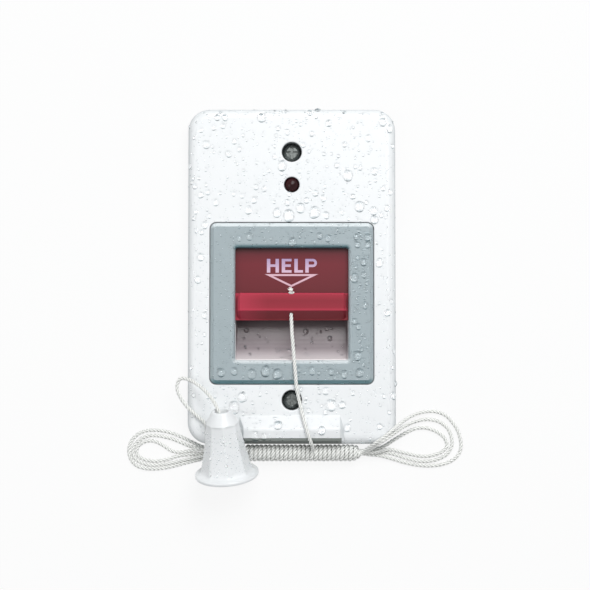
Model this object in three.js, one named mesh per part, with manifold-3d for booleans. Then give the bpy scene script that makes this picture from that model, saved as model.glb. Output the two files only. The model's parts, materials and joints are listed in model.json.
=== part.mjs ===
// Emergency pull cord station: a gasketed wall plate with a sliding red call bar.
// Millimetres. The origin is the middle of the wall face, +Y is up the wall, +Z comes out of it.
import * as THREE from "three";
import { mergeVertices } from "three/addons/utils/BufferGeometryUtils.js";
import Module from "manifold-3d";

const wasm = await Module();
wasm.setup();

// Clearances
const RUN_GAP = 0.3; // between pieces that slide on each other
const SEAT_GAP = 0.15; // between pieces that are seated on each other
const WALL = 2.0; // moulded wall

// Wall plate
const PLATE_WIDTH = 69.85;
const PLATE_HEIGHT = 112.7;
const PLATE_THICK = 7.4;
const PLATE_CORNER = 7.2;
const PLATE_ROLL = 3.0;

// Screws into the wall box
const BOX_SCREW_SPACING = 83.34;
const BOX_SCREW_LENGTH = 25.4;
const BOX_SCREW_RADIUS = 1.72;
const BOX_SCREW_HEAD_RADIUS = 3.1;
const BOX_SCREW_HEAD_HEIGHT = 2.1;
const SCREW_WELL_DEPTH = 5.6;
const SCREW_WASHER_THICK = 0.7;

// Bezel round the call bar
const BEZEL_WIDTH = 54.6;
const BEZEL_HEIGHT = 53.9;
const BEZEL_DROP = 9.3; // centre of the bezel below the centre of the plate
const BEZEL_CORNER = 2.0;
const BEZEL_PROUD = 1.0;
const BEZEL_SET_IN = 1.7;
const BEZEL_CHAMFER = 1.2;
const WINDOW_WIDTH = 37.9;
const WINDOW_HEIGHT = 37.6;
const WINDOW_DROP = 9.5;
const WINDOW_CORNER = 0.8;
const WINDOW_LIP = 1.3;

// Sliding call bar
const SLIDER_TRAVEL = 10;
const PANEL_SINK = 3.0; // front of the panel below the front of the bezel
const PANEL_THICK = 2.0;
const PANEL_RAIL = 2.3; // part of the panel held behind each side of the bezel
const BAR_WIDTH = 36.3;
const BAR_TOP_DROP = 5.9;
const BAR_HEIGHT = 9.0;
const BAR_PROUD = 0.6; // front of the bar above the front of the bezel
const BAR_CHAMFER_LONG = 3.1;
const BAR_CHAMFER_DEEP = 3.9;
const BAR_EDGE = 0.5;
const SCOOP_DEPTH = 8.5;

// Magnet behind the call bar, and what it works
const MAGNET_WIDTH = 8;
const MAGNET_HEIGHT = 4.8;
const MAGNET_THICK = 2.0;
const MAGNET_RISE = 4.0; // centre of the magnet above the centre of the plate
const BOSS_WALL = 1.2;
const KEEPER_WIDTH = 7;
const KEEPER_HEIGHT = 4;
const KEEPER_THICK = 0.8;
const REED_RADIUS = 0.8;
const REED_LENGTH = 10;
const REED_OFFSET = 10.5;
const REED_LEAD = 0.3;

// Indicator
const LED_RISE = 30.6;
const LED_RADIUS = 2.5;
const LED_PROUD = 0.9;
const LED_LENGTH = 8.6;
const LED_FLANGE_RADIUS = 2.9;
const LED_FLANGE_THICK = 1.0;
const LED_SEAL_RADIUS = 0.5; // half the thickness of the rubber ring
const LED_LEAD_HALF = 0.25;
const LED_LEAD_PITCH = 2.54;

// Module behind the plate
const MODULE_WIDTH = 46;
const MODULE_HEIGHT = 70;
const MODULE_DEPTH = 20;
const MODULE_CORNER = 3;
const PILLAR = 5;
const COVER_THICK = 1.8;
const GASKET_THICK = 0.8;
const COVER_SCREW_RADIUS = 1.0;
const COVER_SCREW_HEAD = 2.0;
const COVER_SCREW_LENGTH = 9;

// Wall gasket
const WALL_GASKET_THICK = 1.3;
const WALL_GASKET_MARGIN = 3.2;

// Circuit board
const BOARD_THICK = 1.6;
const BOARD_STANDOFF = 2.0;
const BOARD_SCREW_RADIUS = 0.9;
const BOARD_SCREW_HEAD = 1.8;
const BOARD_SCREW_LENGTH = 5.4;
const BOARD_SCREW_X = 12;
const BOARD_SCREW_TOP = 17;
const BOARD_SCREW_BOTTOM = -30;

// Terminal block
const TERMINAL_COUNT = 4;
const TERMINAL_PITCH = 5.08;
const TERMINAL_DEPTH = 10;
const TERMINAL_DROP = 17;
const TERMINAL_SCREW_RADIUS = 1.6;

// Bezel screws
const BEZEL_SCREW_INSET = 2.2;
const BEZEL_SCREW_RADIUS = 0.75;
const BEZEL_SCREW_HEAD = 1.7;

// Lip at the foot of the plate that lifts the cord
const LIP_WIDTH = 35;
const LIP_TOP = -46.9;
const LIP_CREST = -51.0;
const LIP_FOOT = -55.6;
const LIP_RISE = 2.2;
const LIP_FOOT_RISE = 1.4;
const LIP_SLOT_HEIGHT = 2.4;
const LIP_SLOT_DEPTH = 3.4;
const LIP_SIDE = 1.4;

// Cord and pull bell
const CORD_RADIUS = 0.65;
const CORD_SIDES = 8;
const KNOT_RADIUS = 1.45;
const BELL_TILT = 19.3; // degrees, from lying flat
const BELL_YAW = 5.5;
const BELL_ROLL = 3.3;
const BELL_FOOT = [-21.5, -66.6];
const BELL_FLANGE_RADIUS = 10.6;
const BELL_FLANGE_THICK = 1.2;
const BELL_SKIRT_RADIUS = 8.6;
const BELL_WAIST_RADIUS = 5.8;
const BELL_SHOULDER = 17.0;
const BELL_TOP_RADIUS = 3.4;
const BELL_LENGTH = 22.8;
const BELL_WALL = 1.1;
const BELL_WEB_FOOT = 14;
const BELL_WEB_THICK = 2;
const BELL_MOUTH_RADIUS = 2.5;
const BELL_KNOT_RADIUS = 2.0;

// Heights above the wall
const faceZ = PLATE_THICK;
const seatZ = faceZ - BEZEL_SET_IN;
const bezelFrontZ = faceZ + BEZEL_PROUD;
const bezelBackZ = seatZ + SEAT_GAP;
const panelFrontZ = bezelFrontZ - PANEL_SINK;
const panelBackZ = panelFrontZ - PANEL_THICK;
const slotFloorZ = panelBackZ - RUN_GAP;
const barFrontZ = bezelFrontZ + BAR_PROUD;
const magnetBossBackZ = panelBackZ - MAGNET_THICK - 2 * SEAT_GAP - 0.4;
const trenchFloorZ = magnetBossBackZ - RUN_GAP;
const scoopFloorZ = faceZ - SCOOP_DEPTH;
const webBackZ = Math.min(scoopFloorZ, trenchFloorZ - WALL) - WALL;
const boardFrontZ = webBackZ - BOARD_STANDOFF;
const boardBackZ = boardFrontZ - BOARD_THICK;
const moduleBackZ = -MODULE_DEPTH;
const gasketFrontZ = moduleBackZ - SEAT_GAP;
const gasketBackZ = gasketFrontZ - GASKET_THICK;
const coverFrontZ = gasketBackZ - SEAT_GAP;
const coverBackZ = coverFrontZ - COVER_THICK;
const wellFloorZ = faceZ - SCREW_WELL_DEPTH;

// Places up and down the plate
const windowTop = -WINDOW_DROP + WINDOW_HEIGHT / 2;
const windowFoot = -WINDOW_DROP - WINDOW_HEIGHT / 2;
const barTop = -BAR_TOP_DROP;
const barFoot = barTop - BAR_HEIGHT;
const panelTop = windowTop + SLIDER_TRAVEL + 1;
const slotTop = panelTop + RUN_GAP;
const slotFoot = barFoot - SLIDER_TRAVEL - RUN_GAP;
const scoopTop = barFoot + 1.9;
const panelHalf = WINDOW_WIDTH / 2 + PANEL_RAIL;
const slotHalf = panelHalf + RUN_GAP;
const cordHoleZ = barFrontZ - 1.7;
const cordHoleX = -0.2;

// Shape helpers

function toSolid(geometry) {
  const bare = geometry.clone();
  bare.deleteAttribute("normal");
  bare.deleteAttribute("uv");
  const merged = mergeVertices(bare, 1e-4);
  return new wasm.Manifold(
    new wasm.Mesh({
      numProp: 3,
      vertProperties: new Float32Array(merged.attributes.position.array),
      triVerts: new Uint32Array(merged.index.array),
    }),
  );
}

function toGeometry(solid) {
  const mesh = solid.getMesh();
  const geometry = new THREE.BufferGeometry();
  geometry.setAttribute("position", new THREE.BufferAttribute(new Float32Array(mesh.vertProperties), 3));
  geometry.setIndex(new THREE.BufferAttribute(new Uint32Array(mesh.triVerts), 1));
  geometry.computeVertexNormals();
  return geometry;
}

function signedVolume(points, faces) {
  const cross = new THREE.Vector3();
  return faces.reduce((sum, [a, b, c]) => sum + cross.crossVectors(points[b], points[c]).dot(points[a]), 0);
}

// A closed skin through rings of equal length, with a flat cap on the first and the last.
function loft(givenRings, givenOutline) {
  const clockwise = THREE.ShapeUtils.isClockWise(givenOutline);
  const turn = (list) => (clockwise ? [...list].reverse() : list);
  const outline = turn(givenOutline);
  const rings = givenRings.map(turn);
  const count = outline.length;
  const points = rings.flat();
  const faces = [];
  for (let k = 0; k + 1 < rings.length; k += 1) {
    for (let i = 0; i < count; i += 1) {
      const next = (i + 1) % count;
      const low = k * count;
      const high = low + count;
      faces.push([low + i, low + next, high + next]);
      faces.push([low + i, high + next, high + i]);
    }
  }
  const last = (rings.length - 1) * count;
  for (const [a, b, c] of THREE.ShapeUtils.triangulateShape(outline, [])) {
    faces.push([a, c, b]);
    faces.push([last + a, last + b, last + c]);
  }
  const outward = signedVolume(points, faces) > 0;
  const geometry = new THREE.BufferGeometry();
  geometry.setAttribute("position", new THREE.Float32BufferAttribute(points.flatMap((p) => p.toArray()), 3));
  geometry.setIndex(faces.flatMap(([a, b, c]) => (outward ? [a, b, c] : [a, c, b])));
  return toSolid(geometry);
}

function roundedOutline(width, height, corner, steps = 6) {
  const radius = Math.max(corner, 0.05);
  const outline = [];
  for (const [quarter, [sx, sy]] of [[1, 1], [-1, 1], [-1, -1], [1, -1]].entries()) {
    const x = sx * (width / 2 - radius);
    const y = sy * (height / 2 - radius);
    for (let i = 0; i <= steps; i += 1) {
      const angle = ((quarter + i / steps) * Math.PI) / 2;
      outline.push(new THREE.Vector2(x + radius * Math.cos(angle), y + radius * Math.sin(angle)));
    }
  }
  return outline;
}

// Rounded rectangles stacked up Z, each level an inset and a height.
function stack(width, height, corner, levels, [x, y] = [0, 0], steps = 6) {
  const rings = levels.map(([inset, z]) =>
    roundedOutline(width - 2 * inset, height - 2 * inset, corner - inset, steps).map(
      (p) => new THREE.Vector3(p.x + x, p.y + y, z),
    ),
  );
  return loft(rings, roundedOutline(width, height, corner, steps));
}

function slab(width, height, corner, z0, z1, centre = [0, 0]) {
  return stack(width, height, corner, [[0, z0], [0, z1]], centre);
}

function box(x0, x1, y0, y1, z0, z1) {
  const geometry = new THREE.BoxGeometry(x1 - x0, y1 - y0, z1 - z0);
  geometry.translate((x0 + x1) / 2, (y0 + y1) / 2, (z0 + z1) / 2);
  return toSolid(geometry);
}

function rod(radius, z0, z1, [x, y] = [0, 0], sides = 16) {
  const geometry = new THREE.CylinderGeometry(radius, radius, z1 - z0, sides);
  geometry.rotateX(Math.PI / 2);
  geometry.translate(x, y, (z0 + z1) / 2);
  return toSolid(geometry);
}

// A turned piece, its profile given as radius and height, standing on Z.
function turned(profile, [x, y] = [0, 0], sides = 14) {
  const geometry = new THREE.LatheGeometry(profile.map(([r, z]) => new THREE.Vector2(r, z)), sides);
  geometry.rotateX(Math.PI / 2);
  geometry.translate(x, y, 0);
  const solid = toSolid(geometry);
  return solid;
}

function rubberRing(radius, half, [x, y], z) {
  const geometry = new THREE.TorusGeometry(radius, half, 6, 20);
  geometry.translate(x, y, z);
  return toSolid(geometry);
}

// A section given in Y and Z, run along X through stations of [x, section].
function runAcross(stations) {
  const outline = stations[0][1].map(([y, z]) => new THREE.Vector2(y, z));
  return loft(stations.map(([x, section]) => section.map(([y, z]) => new THREE.Vector3(x, y, z))), outline);
}

function tube(points, radius, sides, steps) {
  const curve = new THREE.CatmullRomCurve3(points.map((p) => new THREE.Vector3(...p)), false, "centripetal");
  const section = new THREE.Shape();
  for (let i = 0; i < sides; i += 1) {
    const angle = (i / sides) * 2 * Math.PI;
    const corner = [radius * Math.cos(angle), radius * Math.sin(angle)];
    if (i === 0) section.moveTo(...corner);
    else section.lineTo(...corner);
  }
  section.closePath();
  return toSolid(new THREE.ExtrudeGeometry(section, { steps, extrudePath: curve, bevelEnabled: false }));
}

function joined(solids) {
  return solids.reduce((sum, solid) => sum.add(solid));
}

function cut(solid, tools) {
  return tools.reduce((rest, tool) => rest.subtract(tool), solid);
}

// Materials
const materials = {
  white: new THREE.MeshStandardMaterial({ color: "#f1f3f5", roughness: 0.35, metalness: 0 }),
  bezel: new THREE.MeshStandardMaterial({ color: "#a9bbc3", roughness: 0.3, metalness: 0 }),
  red: new THREE.MeshStandardMaterial({ color: "#b0303f", roughness: 0.35, metalness: 0 }),
  darkRed: new THREE.MeshStandardMaterial({ color: "#3a1216", roughness: 0.1, metalness: 0 }),
  steel: new THREE.MeshStandardMaterial({ color: "#b9bcbe", roughness: 0.3, metalness: 1 }),
  magnet: new THREE.MeshStandardMaterial({ color: "#8f9294", roughness: 0.25, metalness: 1 }),
  rubber: new THREE.MeshStandardMaterial({ color: "#1d1e20", roughness: 0.8, metalness: 0 }),
  foam: new THREE.MeshStandardMaterial({ color: "#3b3d40", roughness: 0.95, metalness: 0 }),
  board: new THREE.MeshStandardMaterial({ color: "#1f6b45", roughness: 0.5, metalness: 0 }),
  glass: new THREE.MeshStandardMaterial({ color: "#9fb7a6", roughness: 0.1, metalness: 0 }),
  terminal: new THREE.MeshStandardMaterial({ color: "#2f7d4f", roughness: 0.5, metalness: 0 }),
  grey: new THREE.MeshStandardMaterial({ color: "#cfd3d6", roughness: 0.5, metalness: 0 }),
  cord: new THREE.MeshStandardMaterial({ color: "#f2f2ea", roughness: 0.9, metalness: 0 }),
};

const station = new THREE.Group();

function place(name, solid, material, parent = station) {
  const mesh = new THREE.Mesh(toGeometry(solid), material);
  mesh.name = name;
  parent.add(mesh);
  return mesh;
}

// Shared places
const boxScrews = { top: [0, BOX_SCREW_SPACING / 2], bottom: [0, -BOX_SCREW_SPACING / 2] };
const bezelCentre = [0, -BEZEL_DROP];
const windowCentre = [0, -WINDOW_DROP];
const ledPlace = [0, LED_RISE];
const pillarX = MODULE_WIDTH / 2 - WALL - PILLAR / 2;
const pillarY = MODULE_HEIGHT / 2 - WALL - PILLAR / 2;
const corners = [[1, 1], [-1, 1], [-1, -1], [1, -1]];
const coverScrews = corners.map(([sx, sy]) => [sx * pillarX, sy * pillarY]);
const bezelScrews = corners.map(([sx, sy]) => [
  sx * (BEZEL_WIDTH / 2 - BEZEL_SCREW_INSET),
  sy * (BEZEL_HEIGHT / 2 - BEZEL_SCREW_INSET - BEZEL_CORNER) - BEZEL_DROP,
]);
const boardScrews = corners.map(([sx, sy]) => [sx * BOARD_SCREW_X, sy > 0 ? BOARD_SCREW_TOP : BOARD_SCREW_BOTTOM]);
const magnetPlaces = { up: MAGNET_RISE, down: MAGNET_RISE - SLIDER_TRAVEL };
const ledLeads = { left: -LED_LEAD_PITCH / 2, right: LED_LEAD_PITCH / 2 };
const ledBackZ = faceZ + LED_PROUD - LED_LENGTH;
const ledSealZ = ledBackZ + LED_FLANGE_THICK + SEAT_GAP + LED_SEAL_RADIUS;
const ledBoreTopZ = ledSealZ + LED_SEAL_RADIUS + SEAT_GAP;
const ledBoreRadius = Math.max(LED_FLANGE_RADIUS, LED_RADIUS + SEAT_GAP + 2 * LED_SEAL_RADIUS) + SEAT_GAP;

// Front housing: the plate, the lip, the slider's pocket and the walls of the module

function scoopSection() {
  const long = scoopTop - windowFoot;
  const section = [[scoopTop, faceZ + 1]];
  const steps = 14;
  for (let i = 0; i <= steps; i += 1) {
    const angle = (i / steps) * (Math.PI / 2);
    section.push([scoopTop - long * Math.sin(angle), faceZ - SCOOP_DEPTH * Math.cos(angle)]);
  }
  section.push([windowFoot, faceZ + 1]);
  return section;
}

function lipSolid() {
  const section = [
    [LIP_TOP, faceZ - 1],
    [LIP_TOP, faceZ],
    [LIP_CREST, faceZ + LIP_RISE],
    [LIP_CREST - 0.8, faceZ + LIP_RISE + 0.1],
    [LIP_FOOT + 0.8, faceZ + LIP_FOOT_RISE + 0.2],
    [LIP_FOOT + 0.2, faceZ + LIP_FOOT_RISE - 0.3],
    [LIP_FOOT, faceZ - PLATE_ROLL],
    [LIP_TOP, faceZ - PLATE_ROLL],
  ];
  const side = section.map(([y, z]) => [y, Math.min(z, faceZ - 0.1)]);
  const half = LIP_WIDTH / 2;
  const body = runAcross([[-half, side], [-half + LIP_SIDE, section], [half - LIP_SIDE, section], [half, side]]);
  const slot = box(
    -half + WALL,
    half - WALL,
    LIP_FOOT - 1,
    LIP_FOOT + LIP_SLOT_DEPTH,
    faceZ - LIP_SLOT_HEIGHT + 0.4,
    faceZ + 0.4,
  );
  return { body, slot };
}

function frontHousing() {
  const roll = [];
  const rollSteps = 5;
  for (let i = 0; i <= rollSteps; i += 1) {
    const angle = (i / rollSteps) * (Math.PI / 2);
    roll.push([PLATE_ROLL * (1 - Math.cos(angle)), faceZ - PLATE_ROLL * (1 - Math.sin(angle))]);
  }
  const plate = stack(PLATE_WIDTH, PLATE_HEIGHT, PLATE_CORNER, [[0, 0], ...roll], [0, 0], 8);
  const lip = lipSolid();
  const module = slab(MODULE_WIDTH, MODULE_HEIGHT, MODULE_CORNER, moduleBackZ, 1);
  const chamber = slab(
    MODULE_WIDTH - 2 * WALL,
    MODULE_HEIGHT - 2 * WALL,
    MODULE_CORNER - WALL,
    moduleBackZ - 1,
    webBackZ,
  );
  const ledRoom = box(
    -12,
    12,
    slotTop + WALL,
    MODULE_HEIGHT / 2 - WALL,
    webBackZ - 1,
    ledBackZ + LED_FLANGE_THICK,
  );
  const shell = cut(joined([plate, lip.body, module]), [chamber, ledRoom, lip.slot]);
  const pillars = coverScrews.map(([x, y]) =>
    box(x - PILLAR / 2 - 0.1, x + PILLAR / 2 + 0.1, y - PILLAR / 2 - 0.1, y + PILLAR / 2 + 0.1, moduleBackZ, webBackZ + 1),
  );
  const corePillars = pillars.map((pillar) => pillar.intersect(module));
  const posts = boardScrews.map((p) => rod(BOARD_SCREW_HEAD + 0.6, boardFrontZ + SEAT_GAP, webBackZ + 1, p));
  const body = joined([shell, ...corePillars, ...posts]);

  const seat = slab(
    BEZEL_WIDTH + 2 * RUN_GAP,
    BEZEL_HEIGHT + 2 * RUN_GAP,
    BEZEL_CORNER + RUN_GAP,
    seatZ,
    faceZ + 1,
    bezelCentre,
  );
  const slot = box(-slotHalf, slotHalf, slotFoot, slotTop, slotFloorZ, seatZ);
  const slotMouth = box(-slotHalf, slotHalf, slotFoot, windowTop, seatZ - 0.1, seatZ + 0.1);
  const bossHalf = MAGNET_WIDTH / 2 + BOSS_WALL + RUN_GAP;
  const bossTall = MAGNET_HEIGHT / 2 + BOSS_WALL + RUN_GAP;
  const trench = box(
    -bossHalf,
    bossHalf,
    magnetPlaces.down - bossTall,
    magnetPlaces.up + bossTall,
    trenchFloorZ,
    slotFloorZ + 0.1,
  );
  const scoopHalf = WINDOW_WIDTH / 2 - RUN_GAP;
  const scoop = runAcross([[-scoopHalf, scoopSection()], [scoopHalf, scoopSection()]]);
  const wells = Object.values(boxScrews).flatMap((p) => [
    rod(BOX_SCREW_HEAD_RADIUS + RUN_GAP, wellFloorZ, faceZ + 1, p, 24),
    rod(BOX_SCREW_RADIUS + RUN_GAP, -1, wellFloorZ + 1, p),
  ]);
  const ledBores = [
    rod(LED_RADIUS + SEAT_GAP, ledBackZ, faceZ + 1, ledPlace, 24),
    rod(ledBoreRadius, webBackZ, ledBoreTopZ, ledPlace, 24),
  ];
  const bezelScrewBores = bezelScrews.flatMap((p) => [
    rod(BEZEL_SCREW_HEAD + RUN_GAP, -1, WALL_GASKET_THICK + 1.4, p),
    rod(BEZEL_SCREW_RADIUS + RUN_GAP, 0, seatZ + 1, p),
  ]);
  const boardScrewBores = boardScrews.map((p) =>
    rod(BOARD_SCREW_RADIUS + SEAT_GAP, boardFrontZ, boardBackZ + BOARD_SCREW_LENGTH + RUN_GAP, p),
  );
  const coverScrewBores = coverScrews.map((p) =>
    rod(COVER_SCREW_RADIUS + SEAT_GAP, moduleBackZ - 1, coverBackZ + COVER_SCREW_LENGTH + 1, p),
  );
  const keeperPockets = Object.values(magnetPlaces).map((y) =>
    box(
      -KEEPER_WIDTH / 2 - SEAT_GAP,
      KEEPER_WIDTH / 2 + SEAT_GAP,
      y - KEEPER_HEIGHT / 2 - SEAT_GAP,
      y + KEEPER_HEIGHT / 2 + SEAT_GAP,
      webBackZ - 1,
      webBackZ + KEEPER_THICK + SEAT_GAP,
    ),
  );
  return cut(body, [
    seat,
    slot,
    slotMouth,
    trench,
    scoop,
    wallGasketRecess(),
    ...wells,
    ...ledBores,
    ...bezelScrewBores,
    ...boardScrewBores,
    ...coverScrewBores,
    ...keeperPockets,
  ]);
}

// Foam gasket in the back of the plate

function gasketFrame(thick, clearance) {
  const outer = slab(
    PLATE_WIDTH - 2 * WALL_GASKET_MARGIN + 2 * clearance,
    PLATE_HEIGHT - 2 * WALL_GASKET_MARGIN + 2 * clearance,
    PLATE_CORNER - WALL_GASKET_MARGIN + clearance,
    thick[0],
    thick[1],
  );
  const middle = slab(
    MODULE_WIDTH + 2 * RUN_GAP - 2 * clearance,
    MODULE_HEIGHT + 2 * RUN_GAP - 2 * clearance,
    MODULE_CORNER,
    thick[0] - 1,
    thick[1] + 1,
  );
  const bossRadius = BOX_SCREW_HEAD_RADIUS + WALL - clearance;
  const bosses = Object.values(boxScrews).map((p) => rod(bossRadius, thick[0] - 1, thick[1] + 1, p));
  return cut(outer, [middle, ...bosses]);
}

function wallGasketRecess() {
  return gasketFrame([-1, WALL_GASKET_THICK + SEAT_GAP], RUN_GAP / 2);
}

function wallGasket() {
  const holes = bezelScrews.map((p) => rod(BEZEL_SCREW_HEAD + RUN_GAP, -1, WALL_GASKET_THICK + 1, p));
  return cut(gasketFrame([0, WALL_GASKET_THICK], -RUN_GAP / 2), holes);
}

// Bezel

function bezel() {
  const body = stack(
    BEZEL_WIDTH,
    BEZEL_HEIGHT,
    BEZEL_CORNER,
    [[0, bezelBackZ], [0, bezelFrontZ - BEZEL_CHAMFER * 0.8], [BEZEL_CHAMFER, bezelFrontZ]],
    bezelCentre,
  );
  const lipSteps = 4;
  const flare = [[0, bezelBackZ - 1], [0, bezelFrontZ - WINDOW_LIP]];
  for (let i = 1; i <= lipSteps; i += 1) {
    const angle = (i / lipSteps) * (Math.PI / 2);
    flare.push([-WINDOW_LIP * (1 - Math.cos(angle)), bezelFrontZ - WINDOW_LIP * (1 - Math.sin(angle))]);
  }
  flare.push([-WINDOW_LIP, bezelFrontZ + 1]);
  const window = stack(WINDOW_WIDTH, WINDOW_HEIGHT, WINDOW_CORNER, flare, windowCentre);
  const pilots = bezelScrews.map((p) => rod(BEZEL_SCREW_RADIUS + SEAT_GAP, bezelBackZ - 1, bezelFrontZ - 1.1, p));
  return cut(body, [window, ...pilots]);
}

// Slider: the panel, the bar and the boss that carries the magnet, in one moulding

function barSection(inset) {
  return [
    [barTop - inset, panelBackZ + 0.5],
    [barTop - inset, barFrontZ - BAR_EDGE - inset],
    [barTop - BAR_EDGE - inset, barFrontZ - inset],
    [barFoot + BAR_CHAMFER_LONG, barFrontZ - inset],
    [barFoot, barFrontZ - BAR_CHAMFER_DEEP - inset],
    [barFoot, panelBackZ + 0.5],
  ];
}

function slider() {
  const panel = box(-panelHalf, panelHalf, barFoot, panelTop, panelBackZ, panelFrontZ);
  const half = BAR_WIDTH / 2;
  const bevel = 0.8;
  const bar = runAcross([
    [-half, barSection(bevel)],
    [-half + bevel, barSection(0)],
    [half - bevel, barSection(0)],
    [half, barSection(bevel)],
  ]);
  const bossHalf = MAGNET_WIDTH / 2 + BOSS_WALL;
  const bossTall = MAGNET_HEIGHT / 2 + BOSS_WALL;
  const boss = box(
    -bossHalf,
    bossHalf,
    MAGNET_RISE - bossTall,
    MAGNET_RISE + bossTall,
    magnetBossBackZ,
    panelBackZ + 0.5,
  );
  const pocket = box(
    -MAGNET_WIDTH / 2 - SEAT_GAP,
    MAGNET_WIDTH / 2 + SEAT_GAP,
    MAGNET_RISE - MAGNET_HEIGHT / 2 - SEAT_GAP,
    MAGNET_RISE + MAGNET_HEIGHT / 2 + SEAT_GAP,
    magnetBossBackZ - 1,
    panelBackZ,
  );
  const bore = rod(CORD_RADIUS + SEAT_GAP, barFoot - 1, barTop + 1, [0, 0], 16);
  const knotRoom = rod(KNOT_RADIUS + SEAT_GAP, barTop - KNOT_RADIUS - 0.4, barTop + 1, [0, 0], 20);
  const toCord = (solid) => solid.rotate([-90, 0, 0]).translate([cordHoleX, 0, cordHoleZ]);
  return cut(joined([panel, bar, boss]), [pocket, toCord(bore), toCord(knotRoom)]);
}

function magnet() {
  return box(
    -MAGNET_WIDTH / 2,
    MAGNET_WIDTH / 2,
    MAGNET_RISE - MAGNET_HEIGHT / 2,
    MAGNET_RISE + MAGNET_HEIGHT / 2,
    panelBackZ - SEAT_GAP - MAGNET_THICK,
    panelBackZ - SEAT_GAP,
  );
}

// Screws

function crossCut(radius, depth, topZ, [x, y]) {
  const slit = radius * 0.16;
  const reach = radius * 0.62;
  return joined([
    box(x - slit, x + slit, y - reach, y + reach, topZ - depth, topZ + 1),
    box(x - reach, x + reach, y - slit, y + slit, topZ - depth, topZ + 1),
  ]);
}

function panHeadScrew(shankRadius, headRadius, headHeight, headBackZ, length, at) {
  const top = headBackZ + headHeight;
  const profile = [
    [0, headBackZ - length],
    [shankRadius * 0.7, headBackZ - length],
    [shankRadius, headBackZ - length + shankRadius * 0.4],
    [shankRadius, headBackZ],
    [headRadius, headBackZ],
    [headRadius, headBackZ + headHeight * 0.55],
    [headRadius * 0.88, headBackZ + headHeight * 0.85],
    [headRadius * 0.6, top],
    [0, top],
  ];
  return cut(turned(profile, at), [crossCut(headRadius, headHeight * 0.6, top, at)]);
}

// A screw that is driven from behind, its head towards the wall.
function rearScrew(shankRadius, headRadius, headHeight, headFrontZ, length, at) {
  return panHeadScrew(shankRadius, headRadius, headHeight, 0, length, at)
    .mirror([0, 0, 1])
    .translate([0, 0, headFrontZ]);
}

// Indicator

function led() {
  const tip = faceZ + LED_PROUD;
  const dome = LED_RADIUS * 0.9;
  const profile = [[0, ledBackZ], [LED_FLANGE_RADIUS, ledBackZ], [LED_FLANGE_RADIUS, ledBackZ + LED_FLANGE_THICK]];
  profile.push([LED_RADIUS, ledBackZ + LED_FLANGE_THICK]);
  const steps = 6;
  for (let i = 0; i <= steps; i += 1) {
    const angle = (i / steps) * (Math.PI / 2);
    profile.push([i === steps ? 0 : LED_RADIUS * Math.cos(angle), tip - dome * (1 - Math.sin(angle))]);
  }
  return turned(profile, ledPlace, 28);
}

function ledLead(x) {
  return box(
    x - LED_LEAD_HALF,
    x + LED_LEAD_HALF,
    LED_RISE - LED_LEAD_HALF,
    LED_RISE + LED_LEAD_HALF,
    boardBackZ - 0.8,
    ledBackZ - SEAT_GAP,
  );
}

// Circuit board and what is soldered to it

const boardHalfX = MODULE_WIDTH / 2 - WALL - RUN_GAP;
const boardHalfY = MODULE_HEIGHT / 2 - WALL - RUN_GAP;

function circuitBoard() {
  const sheet = box(-boardHalfX, boardHalfX, -boardHalfY, boardHalfY, boardBackZ, boardFrontZ);
  const notch = PILLAR / 2 + 0.1 + RUN_GAP;
  const notches = coverScrews.map(([x, y]) =>
    box(
      x > 0 ? x - notch : x - notch - 1,
      x > 0 ? x + notch + 1 : x + notch,
      y > 0 ? y - notch : y - notch - 1,
      y > 0 ? y + notch + 1 : y + notch,
      boardBackZ - 1,
      boardFrontZ + 1,
    ),
  );
  const screwHoles = boardScrews.map((p) => rod(BOARD_SCREW_RADIUS + RUN_GAP, boardBackZ - 1, boardFrontZ + 1, p));
  const ledHoles = Object.values(ledLeads).map((x) => rod(0.6, boardBackZ - 1, boardFrontZ + 1, [x, LED_RISE], 12));
  return cut(sheet, [...notches, ...screwHoles, ...ledHoles]);
}

function reedSwitch(x, y) {
  const z = boardFrontZ + REED_RADIUS + SEAT_GAP;
  const half = REED_LENGTH / 2;
  const leg = half + 1.2;
  const profile = [[0, -half], [REED_RADIUS * 0.7, -half + 0.2], [REED_RADIUS, -half + 0.8]];
  profile.push([REED_RADIUS, half - 0.8], [REED_RADIUS * 0.7, half - 0.2], [0, half]);
  const capsule = turned(profile, [0, 0], 16).rotate([90, 0, 0]).translate([x, y, z]);
  const wire = box(x - REED_LEAD, x + REED_LEAD, y - leg, y + leg, z - REED_LEAD, z + REED_LEAD);
  const feet = [-leg, leg].map((end) =>
    box(
      x - REED_LEAD,
      x + REED_LEAD,
      y + end - REED_LEAD,
      y + end + REED_LEAD,
      boardFrontZ + SEAT_GAP / 3,
      z + REED_LEAD,
    ),
  );
  return joined([capsule, wire, ...feet]);
}

const terminalHalf = (TERMINAL_COUNT * TERMINAL_PITCH) / 2;
const terminalBackZ = coverFrontZ + SEAT_GAP;
const terminalPlaces = Array.from(
  { length: TERMINAL_COUNT },
  (_, i) => -terminalHalf + TERMINAL_PITCH * (i + 0.5),
);

function terminalBlock() {
  const body = box(
    -terminalHalf,
    terminalHalf,
    -TERMINAL_DROP - TERMINAL_DEPTH / 2,
    -TERMINAL_DROP + TERMINAL_DEPTH / 2,
    terminalBackZ,
    boardBackZ - SEAT_GAP,
  );
  const screwRow = -TERMINAL_DROP + TERMINAL_DEPTH * 0.22;
  const wireRow = -TERMINAL_DROP - TERMINAL_DEPTH * 0.26;
  const screwWells = terminalPlaces.map((x) =>
    rod(TERMINAL_SCREW_RADIUS + SEAT_GAP, terminalBackZ - 1, terminalBackZ + 5, [x, screwRow], 16),
  );
  const wireWays = terminalPlaces.map((x) =>
    box(x - 1.3, x + 1.3, wireRow - 1.3, wireRow + 1.3, terminalBackZ - 1, terminalBackZ + 6),
  );
  return cut(body, [...screwWells, ...wireWays]);
}

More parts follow.
